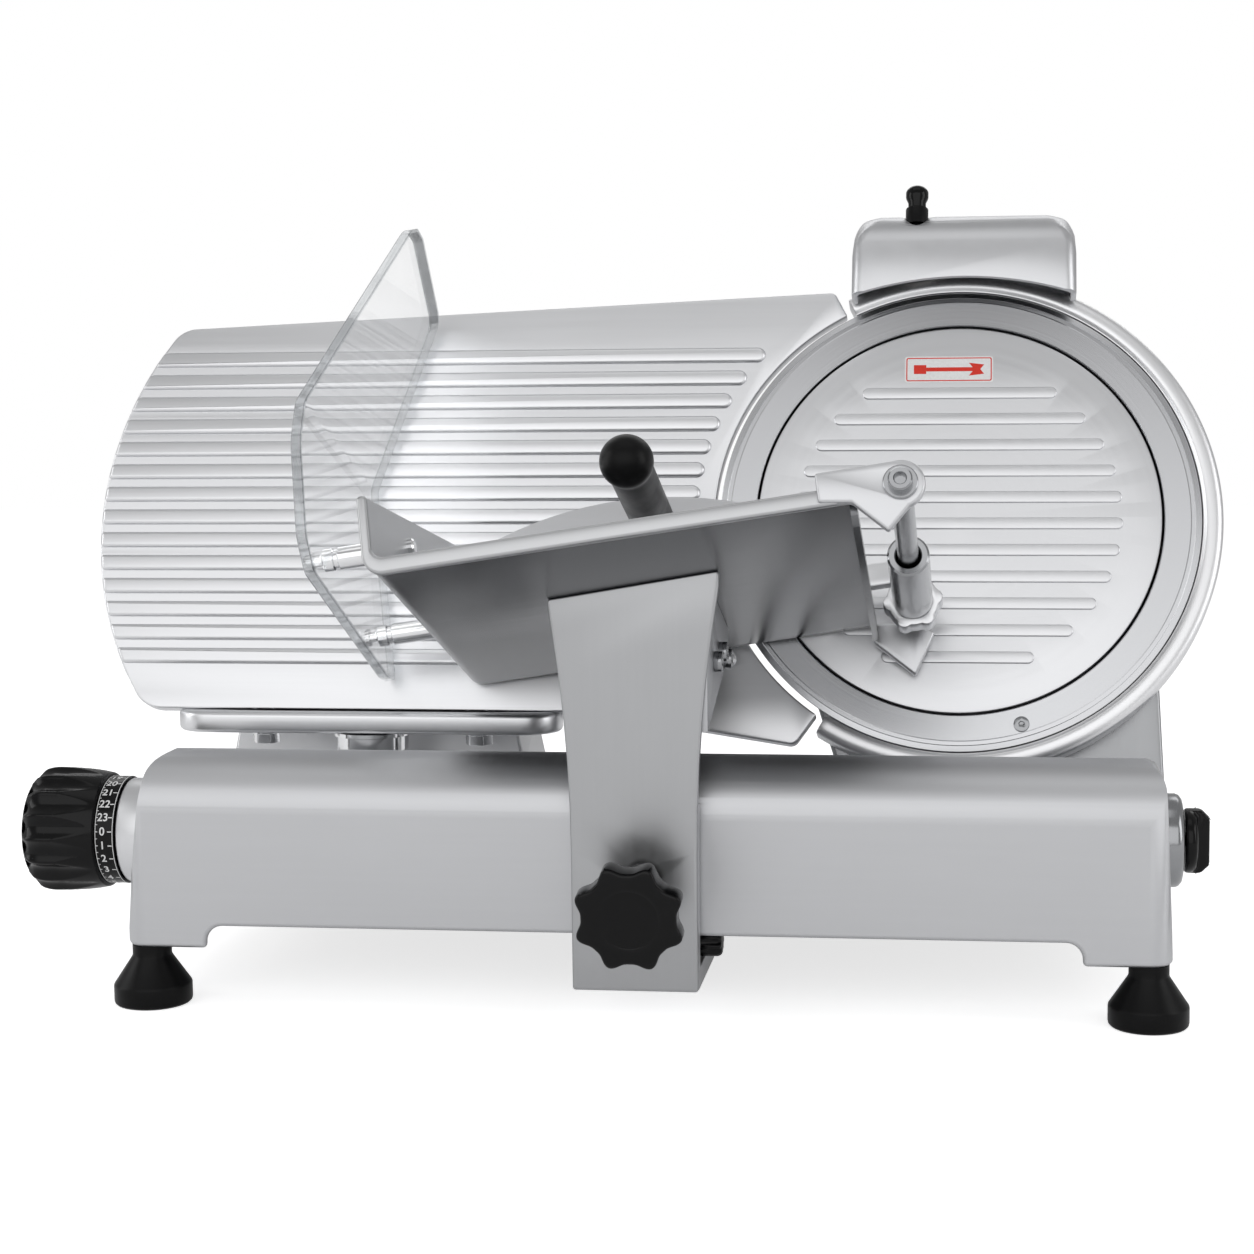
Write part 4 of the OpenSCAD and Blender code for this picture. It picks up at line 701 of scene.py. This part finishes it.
# %% Guard band
GUARD_START, GUARD_SWEEP = math.radians(-122), math.radians(238)
guard_back = [(88, -16), (134.4, -16), (135.4, -15.4), (136, -14)]
guard_crown = [(136, -3.4), (135.7, -2), (134.8, -0.7), (133.4, 0.2), (131.6, 0.7), (129.4, 0.9),
               (127.9, 0.75), (127.1, 0.3), (126.5, -0.5), (126, -0.9), (125.45, -1.0)]
guard_inside = [(125.4, -4.1), (121.5, -4.1), (121.5, -5.6), (126.5, -8.1), (126.5, -12.5), (88, -12.5)]
guard_line = guard_back + guard_crown + guard_inside
guard = spun("ring_guard_turned", guard_line, 160, True, GUARD_START, GUARD_SWEEP)
settle(soft_edges(guard, 0.5, 2, 60), BLADE, "base", guard_silver, "ring_guard", 25)
softened("blade_screws", 0.3, "blade", machined_steel)

# %% [markdown]
# ## Tray
# The tray is one bent sheet. Its section, floor and left wall with a rounded bend, is extruded from the
# blade towards the operator. The wall's sloping top is cut with a boolean, then the rim's lip in front
# and the folded strip at the right end are joined on. A narrow bevel gives the rim its bright line. The
# sheet is one metal in two tones: its outside is painted dark as shade, and the faces that look inward
# and the rim are painted paler as lit.

# %% Tray pan
def bent_strip(name, path, thickness, low, high):
    """A sheet that follows a path in x and y, with its thickness to the left of the path."""
    ahead = []
    for i, here in enumerate(path):
        before, after = Vector(path[max(i - 1, 0)]), Vector(path[min(i + 1, len(path) - 1)])
        way = (after - before).normalized()
        ahead.append((here[0] - way.y * thickness, here[1] + way.x * thickness))
    return slab(name, list(path) + ahead[::-1], low, high)


def side_slab(name, points, first, last):
    """An outline of depth and height, extruded along x in a leaning frame."""
    piece = slab(name, points, first, last)
    piece.data.transform(Matrix(((0, 0, 1, 0), (0, 1, 0, 0), (1, 0, 0, 0), (0, 0, 0, 1))))
    edit(piece)
    done(outward=True)
    return piece


TRAY_LEFT, TRAY_RIGHT, TRAY_UNDER = -265, -50, -53
TRAY_SHEET, TRAY_BEND_R = 3, 8
TRAY_BACK, TRAY_FRONT = 4, 228
bend = arc_points(TRAY_LEFT + TRAY_BEND_R, TRAY_UNDER + TRAY_BEND_R, TRAY_BEND_R, 180, 270, 8)
tray_path = [(TRAY_LEFT, 20.5)] + bend + [(TRAY_RIGHT, TRAY_UNDER)]
tray = bent_strip("tray_sheet", tray_path, TRAY_SHEET, TRAY_BACK, TRAY_FRONT)
wall_line = [(-5, 22), (-5, 60), (240, 60), (240, -19), (TRAY_FRONT, -19), (20, 20)]
tray = combine(tray, side_slab("wall_above", wall_line, TRAY_LEFT - 10, -100), "DIFFERENCE")
soft_edges(tray, 0.7, 2)
lip_line = [(TRAY_RIGHT, -56, 0), (TRAY_RIGHT, -48.6, 0), (-260.4, -48.6, 5), (-260.4, -19.4, 2.2),
            (TRAY_LEFT, -19.4, 2.2), (TRAY_LEFT, -56, 9)]
lip = slab("tray_lip", rounded(lip_line, 6)[::-1], 225.5, 231)
tray = combine(tray, soft_edges(lip, 1.4, 4, 50))
strip_line = rounded([(12, -64, 6), (224, -64, 6), (224, -51, 0), (12, -51, 0)], 5)
tray = combine(tray, side_slab("tray_strip", strip_line, -53.2, -50.2))
settle(tray, TRAY, "carriage", tray_painted_shade, "tray_pan", 30)
tray.data.materials.append(tray_painted_light)
# Painted light and shade: faces that look inward and the rim take the paler copy, the outside keeps the dark
# one.
inward = TRAY.inverted()
for face in tray.data.polygons:
    place, facing = inward @ face.center, inward.to_3x3() @ face.normal * MM
    inward_painted_light = facing.y > 0.4 or (facing.x > 0.4 and place.x < TRAY_LEFT + 25)
    face.material_index = 1 if inward_painted_light or place.z > TRAY_FRONT + 0.2 else 0

# %% [markdown]
# ## Clear guard
# A bent acrylic sheet with rounded corners stands beside the tray. The bend is extruded and then met
# with its side outline, a boolean intersection, and the edges get a small bevel. The outline moved in by
# a little then parts the polished edge from the sheet, so that each can have its own clearness: the
# edge's is darker, painted shade. The bevel's own faces are darker still, a painted shadow line round
# the clear sheet.

# %% Clear guard
CLEAR_X, CLEAR_LOW, CLEAR_KNEE, CLEAR_SHEET = -306, -44.5, 61.5, 5
CLEAR_EDGE = 1.7
UPPER_HEIGHT = 120
BEND_DEGREES, BEND_R = 25, 14
BEND = math.radians(BEND_DEGREES)
bend_start = CLEAR_KNEE - BEND_R * math.tan(BEND / 2)
clear_outside = CLEAR_X - CLEAR_SHEET / 2
bend_arc = arc_points(clear_outside + BEND_R, bend_start, BEND_R, 180, 180 - BEND_DEGREES, 8)
end = Vector(bend_arc[-1]) + Vector((math.sin(BEND), math.cos(BEND))) * (UPPER_HEIGHT + 15)
clear_path = [tuple(end)] + bend_arc[::-1] + [(clear_outside, CLEAR_LOW - 10)]
sheet = bent_strip("clear_guard_bent", clear_path, CLEAR_SHEET, 0, 200)
rise = UPPER_HEIGHT * math.cos(BEND)
reach_low = [(4, 0, 5), (24, -2, 10), (160, 16, 9), (170, 31, 12), (166, 80, 30), (150, 106, 40)]
reach_up = [(122, 0.49, 30), (94, 0.965, 8), (86, 1, 6), (74, 1, 10), (12, 0.86, 8), (4, 0.82, 6)]
side_corners = [(n, CLEAR_LOW + u, r) for n, u, r in reach_low]
side_corners += [(n, CLEAR_KNEE + rise * f, r) for n, f, r in reach_up]
side = rounded(side_corners, 4)


def guard_side(name, points):
    return side_slab(name, points, CLEAR_X - 20, CLEAR_X + 120)


sheet = soft_edges(combine(sheet, guard_side("clear_side", side), "INTERSECT"), 0.9, 3, 40)
inner = []
for i, here in enumerate(side):
    way = (Vector(side[(i + 1) % len(side)]) - Vector(side[i - 1])).normalized()
    inner.append((here[0] - way.y * CLEAR_EDGE, here[1] + way.x * CLEAR_EDGE))
pick(sheet)
bpy.ops.object.duplicate()
rim = bpy.context.object
rim.name = "clear_guard_edge"
sheet = combine(sheet, guard_side("clear_inner", inner), "INTERSECT")
rim = combine(rim, guard_side("clear_inner", inner), "DIFFERENCE")
settle(sheet, TRAY, "carriage", clear_sheet, "clear_guard", 35)
settle(rim, TRAY, "carriage", edge_painted_shade, "", 35)
rim.data.materials.append(line_painted_shade)
# Painted shade: the slanted faces of the edge bevel take the darkest tint, the edge line.
for face in rim.data.polygons:
    place, facing = inward @ face.center, inward.to_3x3() @ face.normal * MM
    lean = 0.0 if place.y < CLEAR_KNEE else BEND
    flat = abs(facing.x * math.cos(lean) - facing.y * math.sin(lean))
    face.material_index = 1 if 0.3 < flat < 0.96 else 0

# %% Spacers of the guard
SPACER_PLACES = ((140, -17), (36, -28))
outer_nut = [(0, -8), (3.4, -8), (4.5, -7), (4.5, -5.2), (2.5, -5), (2.5, 0)]
bar = [(5, 0), (5.5, 0.5), (5.5, 5), (4.6, 5.6), (4.6, 7.4), (5.5, 8), (5.5, 30), (4.6, 30.6), (4.6, 32.4),
       (5.5, 33), (5.5, 37.5), (4.8, 38.5)]
inner_nut = [(2.5, 38.5), (2.5, 41.5), (4.5, 41.5), (4.5, 43.6), (3.6, 44.4), (0, 44.4)]
spacers = []
for n, u in SPACER_PLACES:
    spacer = spun("spacer", outer_nut + bar + inner_nut, 48)
    start = Matrix.Translation((CLEAR_X + CLEAR_SHEET / 2, u, n))
    spacer.data.transform(start @ Matrix.Rotation(math.pi / 2, 4, "Y"))
    spacers.append(spacer)
settle(join(spacers), TRAY, "carriage", chrome, "guard_spacers", 30)

# %% [markdown]
# ## Arm of the carriage
# The arm, its foot, the gussets and the brackets of the pusher's rod are copies of their CAD solids,
# with a small bevel on every sharp edge. The bevel shows as a thin bright line down the arm.

# %% Arm, foot and gussets
softened("carriage_arm", 1.5, "carriage", arm_silver, 3)
softened("carriage_foot", 0.8, "carriage", cast_silver)
softened("arm_gussets", 0.7, "carriage", cast_silver)
softened("carriage_bolts", 0.4, "carriage", machined_steel)
softened("rod_brackets", 1.3, "carriage", pale_casting, 3)

# %% [markdown]
# ## Pusher
# A rod carries a thick sleeve, on which the arm of the pusher turns. The plate is arched at the top
# and has pointed teeth behind it; its black grip is one spun section with a round end.

# %% Rod, sleeve and arm
ROD = TRAY @ Matrix.Translation((-30.4, -52, 0))
rod_bar = [(0, 4), (4.4, 4), (5, 4.6), (5, 233.4), (4.6, 234)]
rod_screw = [(7.2, 234), (7.5, 234.4), (7.5, 235.2), (7.1, 235.6), (5.25, 235.6), (5.25, 239.8), (4.6, 240.6),
             (2.9, 240.6), (2.6, 240.2), (2.4, 237.6), (0, 237.6)]
rod = spun("pusher_rod_turned", rod_bar + rod_screw, 64)
settle(rod, ROD, "carriage", machined_steel, "pusher_rod", 30)
sleeve_line = [(5.1, 24), (9.4, 24), (10, 24.6), (10, 27.4), (8, 27.6), (8, 42.3), (9.4, 42.4), (10, 43),
               (10, 121), (9, 122), (6.6, 122), (6, 121.4), (5.6, 118), (5.1, 117)]
sleeve = spun("pusher_sleeve_turned", sleeve_line, 64, closed=True)
settle(sleeve, ROD, "sleeve", machined_steel, "pusher_sleeve", 30)
softened("pusher_arm", 0.8, "pusher", sheet_silver)

# %% Plate and grip
PUSHER_LEFT, PUSHER_RIGHT, PUSHER_LOW = -256, -82, -47.5
PUSHER_BACK, PUSHER_FACE = 28, 33
TOOTH_PITCH, TOOTH_COLUMNS, TOOTH_ROWS = 22, 7, 2
FIRST_TOOTH_X, FIRST_TOOTH_Y = -236, -35.5
top_arc = arc_points(-174, -164, 190, 61.8, 118.2, 40)
top_arc = [point for point in top_arc if PUSHER_LEFT + 4 < point[0] < PUSHER_RIGHT - 4]
right_corners = [(PUSHER_RIGHT, PUSHER_LOW, 3), (PUSHER_RIGHT, 2.6, 2)]
left_corners = [(PUSHER_LEFT, 7.4, 2)]
plate_line = rounded([(PUSHER_LEFT, PUSHER_LOW, 3)] + right_corners + sharp(top_arc) + left_corners, 4)
pusher = soft_edges(slab("pusher_plate_arched", plate_line, PUSHER_BACK, PUSHER_FACE), 0.8, 3)
teeth = []
for column in range(TOOTH_COLUMNS):
    for row in range(TOOTH_ROWS):
        tooth = spun("tooth", [(0, 22), (0.5, 22.1), (2.6, 28.4), (0, 28.4)], 20)
        place = (FIRST_TOOTH_X + TOOTH_PITCH * column, FIRST_TOOTH_Y + TOOTH_PITCH * row, 0)
        tooth.data.transform(Matrix.Translation(place))
        teeth.append(tooth)
pusher = combine(pusher, join(teeth))
settle(pusher, TRAY, "pusher", pusher_silver, "pusher_plate", 35)
GRIP = TRAY @ Matrix.Translation((-155, 10, PUSHER_FACE))
grip_bar = [(0, -5), (3, -5), (3, 0), (10.2, 0), (10.8, 0.6), (11, 1.4), (11, 93)]
grip = spun("pusher_grip_turned", grip_bar + arc_points(0, 104, 13, -32.2, 90, 28), 64)
settle(grip, GRIP, "pusher", black_rubber, "pusher_grip", 40)

# %% [markdown]
# ## Thickness dial
# The grip is turned, then fluted: a function of the angle pulls the points of the mesh inward, deep at
# the free end and fading to nothing near the numbered ring, so each flute runs out in a point.

# %% Fluted grip
def fluted(piece, count, width, depth_at):
    """Hollow flutes, evenly spaced: width is a share of the spacing where the flutes are deepest."""
    deepest = max(depth_at(corner.co.z) for corner in piece.data.vertices)
    for corner in piece.data.vertices:
        r = math.hypot(corner.co.x, corner.co.y)
        if r < 1e-6:
            continue
        place = (math.atan2(corner.co.y, corner.co.x) / (2 * math.pi) * count) % 1.0
        away = abs(place - 0.5) * 2 / width
        keep = 1 - max(0.0, depth_at(corner.co.z) - deepest * away ** 2) / r
        corner.co.x *= keep
        corner.co.y *= keep
    return piece


DIAL_Y, DIAL_Z = 38, 81
GRIP_LEFT, RING_LEFT, COLLAR_LEFT = -287, -249, -239
GRIP_R, GRIP_WIDEST = 31.4, 12
FLUTE_COUNT, FLUTE_SHARE, FLUTE_DEPTH, FLUTE_END, FLUTE_FADE = 16, 0.92, 2.4, 35.5, 18


def grip_radius(x):
    """Radius of the grip, which falls slowly towards the ring and faster towards the free end."""
    if x > GRIP_WIDEST:
        return GRIP_R - 3.0 * ((x - GRIP_WIDEST) / 26) ** 2
    return GRIP_R - 0.6 * ((GRIP_WIDEST - x) / 5) ** 2


def flute_depth(x):
    if x <= 0.5:
        return 0.0
    return FLUTE_DEPTH * max(0.0, min(1.0, (FLUTE_END - x) / FLUTE_FADE))


free_end = [(0, 1.4), (12, 1.4), (13, 0.2), (23.6, 0), (25.2, 0.2), (26.5, 0.8), (29.4, 3.6), (30.3, 5.2)]
grip_line = free_end + [(grip_radius(x), x) for x in range(7, 38)] + [(27.8, 37.6), (27, 37.9), (0, 37.9)]
dial = fluted(spun("dial_grip_fluted", grip_line, 320), FLUTE_COUNT, FLUTE_SHARE, flute_depth)
settle(dial, along_x_axis(GRIP_LEFT, DIAL_Y, DIAL_Z), "dial", black_plastic, "dial_grip", 32)

# %% [markdown]
# The ring carries plain numbers and ticks. Each number is typed flat, turned into a mesh, and its points
# are then wrapped round the ring: the height in the text becomes an angle.

# %% Numbered ring
RING_R = 26.8
NUMBER_COUNT, NUMBER_SIZE, FIRST_ANGLE = 24, 5.6, 8
NUMBER_X = -245
ring_line = [(5.1, 0), (26.2, 0), (RING_R, 0.4), (RING_R, 9.2), (26.2, 9.7), (5.1, 9.7)]
ring = spun("dial_ring_turned", ring_line, 128, closed=True)
settle(ring, along_x_axis(RING_LEFT, DIAL_Y, DIAL_Z), "dial", black_plastic, "dial_ring", 30)


def wrapped(piece, x, angle):
    """Wrap a flat piece, its x along the axis and its y round the ring, at an angle above the front."""
    for corner in piece.data.vertices:
        r = RING_R + corner.co.z
        turn = angle + corner.co.y / RING_R
        corner.co = (x + corner.co.x, DIAL_Y - r * math.cos(turn), DIAL_Z + r * math.sin(turn))
    return piece


TICKS = ((-241.2, 1.1, 0.24, 0.0), (-247.9, 0.6, 0.2, 0.0), (-247.9, 0.5, 0.16, 0.131))
marks = []
for k in range(NUMBER_COUNT):
    angle = math.radians(FIRST_ANGLE - 360 / NUMBER_COUNT * k)
    bpy.ops.object.select_all(action="DESELECT")
    bpy.ops.object.text_add()
    typed = bpy.context.object
    typed.data.body = str(k)
    typed.data.size = NUMBER_SIZE
    typed.data.align_x = typed.data.align_y = "CENTER"
    typed.data.extrude = 0.08
    typed.data.offset = 0.08
    bpy.ops.object.convert(target="MESH")
    marks.append(wrapped(bpy.context.object, NUMBER_X, angle))
    for x, length, half, shift in TICKS:
        tick = slab("tick", box_outline(0, 0, length * 2, half * 2, half * 0.9), -0.08, 0.08)
        marks.append(wrapped(tick, x, angle + shift))
for x in (-248.6, -239.9):
    line = spun("line", [(26.7, 0), (26.9, 0), (26.9, 0.3), (26.7, 0.3)], 128, closed=True)
    line.data.transform(Matrix.Translation((x, DIAL_Y, DIAL_Z)) @ Matrix.Rotation(math.pi / 2, 4, "Y"))
    marks.append(line)
settle(join(marks), MACHINE, "dial", white_print, "")
collar_line = [(5.05, 0), (24.6, 0), (25.6, 0.4), (26, 1.2), (26, 21), (5.05, 21)]
collar = spun("dial_collar_turned", collar_line, 128, closed=True)
COLLAR = along_x_axis(COLLAR_LEFT, DIAL_Y, DIAL_Z)
settle(collar, COLLAR, "base", plate_silver, "dial_collar", 30)

# %% [markdown]
# ## Star knob, lock knob and switch
# The star knob has eight lobes. It is a turned, flat-faced block whose points are pulled in between
# the lobes, with a shallow round recess in its face, on a slim stem.

# %% Star knob
STAR = MACHINE @ Matrix.Translation((27, -13.2, 70.5)) @ Matrix.Rotation(math.radians(100), 4, "X")
LOBE_COUNT, LOBE_DEPTH, LOBE_FROM_R = 8, 0.155, 15.5
face = [(0, 47.5), (13.4, 47.5), (14, 47.6), (14.6, 48), (17, 48), (19.5, 48), (22, 48), (24.2, 47.9),
        (25.3, 47.5), (25.8, 46.9), (26, 46), (26, 38.2), (25.7, 37.1), (24.8, 36.3), (12, 36)]
stem = [(11, 35.6), (10.2, 34.4), (10, 33), (10, 4), (9.4, 2.2), (4, 2.2), (4, -9), (0, -9)]
star = spun("star_knob_lobed", face + stem, 192)
for corner in star.data.vertices:
    r = math.hypot(corner.co.x, corner.co.y)
    if r > LOBE_FROM_R and corner.co.z > 35.8:
        angle = math.atan2(corner.co.y, corner.co.x) + math.pi / LOBE_COUNT
        valley = 0.5 - 0.5 * math.cos(LOBE_COUNT * angle)
        keep = 1 - LOBE_DEPTH * (1 - (1 - valley) ** 1.6) * min(1.0, (r - LOBE_FROM_R) / 7)
        corner.co.x *= keep
        corner.co.y *= keep
settle(star, STAR, "star", black_plastic, "star_knob", 40)

# %% Lock knob
lock_line = [(0, 13.3), (6.6, 13.3), (7.6, 12.9), (8.3, 12), (8.7, 10.8), (8.7, 3.6), (8.3, 1.2), (7.4, 0.3),
             (3, 0.3), (3, -7), (0, -7)]
lock = fluted(spun("lock_knob_ribbed", lock_line, 160), 10, 0.7, lambda x: 1.3 if x > 2.5 else 0.0)
settle(lock, along_x_axis(48, 18, 36), "lock", black_plastic, "lock_knob", 40)

# %% Switch
bezel_line = [(3.05, 0), (22.5, 0), (22.5, 10.6), (21.9, 12.2), (20.2, 13.6), (18.6, 14), (17.2, 13.6),
              (3.05, 13.4)]
bezel = spun("switch_bezel_turned", bezel_line, 96, closed=True)
settle(bezel, along_x_axis(266, 45, 82), "base", machined_steel, "switch_bezel", 35)
softened("switch_knob", 1.5, "switch", black_plastic, 4)

# %% [markdown]
# ## Feet
# Each foot is a rubber cone on a short rim. The same section is spun for each of the four corners.

# %% Feet
FOOT_PLACES = ((-221, 11), (263, 11), (-206, 248), (248, 248))
foot_line = [(3.1, 30), (9.5, 30), (9.5, 24.6), (9.8, 23.8), (18.4, 10.9), (18.85, 10.2), (19, 9.4),
             (19, 2.4), (18.7, 1.2), (17.8, 0.3), (16.8, 0), (6, 0), (6, 12), (3.1, 12)]
feet = []
for x, y in FOOT_PLACES:
    foot = spun("foot", foot_line, 72, closed=True)
    foot.data.transform(Matrix.Translation((x, y, 0)))
    feet.append(foot)
settle(join(feet), MACHINE, "base", black_rubber, "feet", 30)

# %% [markdown]
# ## Sharpener
# The sharpener sits in a pressed housing with very soft shoulders. A five-cornered side outline is
# extruded across, and each edge gets a bevel weight of its own: wide at the shoulders, narrower down
# the front. A second, smaller form hollows it, and booleans cut the arch over the blade, the slot for
# the guard band and the long hole the button stands in.

# %% Housing
SHELL_LEFT, SHELL_RIGHT, SHELL_FRONT, SHELL_BACK, SHELL_TOP = -57, 61, 20, -36, 168
SLOPE_FRONT_TOP, SLOPE_BACK_DEPTH = 155, 6
SHELL_WALL, SHOULDER_R = 3, 15
BUTTON_X, BUTTON_DEPTH = -23, 10.5
ARCH_R, ARCH_X, ARCH_TOP = 179, 2, 126


def pressed_form(name, inset, low):
    """The housing's outer form, or the form that hollows it, moved in by an inset."""
    front, back, top = SHELL_FRONT - inset, SHELL_BACK + inset, SHELL_TOP - inset
    slope = [(front, SLOPE_FRONT_TOP - inset * 0.4), (SLOPE_BACK_DEPTH - inset * 0.4, top)]
    points = [(front, low)] + slope + [(back, top), (back, low)]
    piece = side_slab(name, points, SHELL_LEFT + inset, SHELL_RIGHT - inset)
    weights = piece.data.attributes.new("bevel_weight_edge", "FLOAT", "EDGE")
    for edge in piece.data.edges:
        a, b = (piece.data.vertices[i].co for i in edge.vertices)
        middle = (a + b) / 2
        across = abs(a.x - b.x) > 1
        if middle.y < low + 1:
            weight = 0.0
        elif across:
            weight = 0.6 if middle.z > 0 else 0.35
        elif middle.y > SLOPE_FRONT_TOP + 2:
            weight = 1.0
        else:
            weight = 0.42 if middle.z > 0 else 0.3
        weights.data[edge.index].value = weight
    weighted_bevel(piece, SHOULDER_R - inset, 7)
    return piece


def rod_along(name, radius, low, high, steps):
    """A plain round bar along z."""
    return spun(name, [(0, low), (radius, low), (radius, high), (0, high)], steps)


shell = pressed_form("sharpener_shell", 0, 118)
shell = combine(shell, pressed_form("sharpener_inside", SHELL_WALL, 100), "DIFFERENCE")
arch = rod_along("arch", ARCH_R, 15, 26, 160)
arch.data.transform(Matrix.Translation((ARCH_X, ARCH_TOP - ARCH_R, 0)))
shell = combine(shell, arch, "DIFFERENCE")
shell = combine(shell, rod_along("guard_slot", 137.5, -16, 2.5, 160), "DIFFERENCE")
hole = slab("button_hole", box_outline(BUTTON_X, -5.4, 18, 8.4, 4.1), 150, 176)
hole.data.transform(Matrix.Rotation(-math.pi / 2, 4, "X"))
edit(hole)
done(outward=True)
shell = combine(shell, hole, "DIFFERENCE")
collar_hole = rod_along("collar_hole", 6.1, 150, 176, 48)
button_axis = Matrix.Translation((BUTTON_X, 0, BUTTON_DEPTH)) @ Matrix.Rotation(-math.pi / 2, 4, "X")
collar_hole.data.transform(button_axis)
shell = combine(shell, collar_hole, "DIFFERENCE")
shell = combine(shell, slab("mount", [(-16, 100.6), (16, 100.6), (16, 132), (-16, 132)], -36, -16.2))
settle(soft_edges(shell, 0.5, 2, 55), BLADE, "base", pale_casting, "sharpener_housing", 30)

# %% Button and its seat
BUTTON = BLADE @ button_axis
STONE_HEIGHT = 144
seat_line = [(5.2, 159), (6, 159), (6, 167.9), (5.8, 168.3), (5.2, 168.5)]
seat = spun("button_seat_turned", seat_line, 48, closed=True)
settle(seat, BUTTON, "base", black_rubber, "button_seat", 30)
button_stem = [(0, STONE_HEIGHT), (3.5, STONE_HEIGHT), (3.5, 163), (4.7, 163.3), (4.7, 171.8), (5, 172.6)]
button_cap = [(5.75, 174.2), (6, 175.2), (6, 178), (5.6, 178.9), (4.9, 179.7), (4.4, 180.2), (3.6, 180.7),
              (2.8, 180.95), (0, 180.95)]
button = spun("sharpener_button_turned", button_stem + button_cap, 48)
axle = rod_along("axle", 2.5, 1.4, 8.8, 32)
across = Matrix.Rotation(math.pi / 2, 4, "X") @ Matrix.Translation((0, 0, -BUTTON_DEPTH))
axle.data.transform(Matrix.Translation((0, 0, STONE_HEIGHT)) @ across)
settle(join([button, axle]), BUTTON, "button", black_plastic, "sharpener_button", 35)

# %% [markdown]
# ## Castings
# The base and the housings behind it come from their CAD solids. A copy of each is merged, its flat
# faces are made whole, and a bevel rounds its sharp edges the way a casting's edges are. On the base
# the bevel keeps to the legs and the back, because the rolled front is already round.

# %% Base and housings
LEGS_BELOW_Z, BACK_FROM_Y = 0.055, -0.03
base = copied("base_casting", "base_soft")
chosen_edges(base, 2.2 * MM, 3, 38, lambda p: p.z < LEGS_BELOW_Z or p.y > BACK_FROM_Y)
settle(base, Matrix.Identity(4), "base", cast_silver, "base_casting", 38)
apply_modifier(base, "WEIGHTED_NORMAL", keep_sharp=True)
softened("index_housing", 2.0, "base", pale_casting, 3)
softened("drive_housing", 2.0, "base", housing_silver, 3)
softened("motor_cover", 0.8, "base", cast_silver, 2)
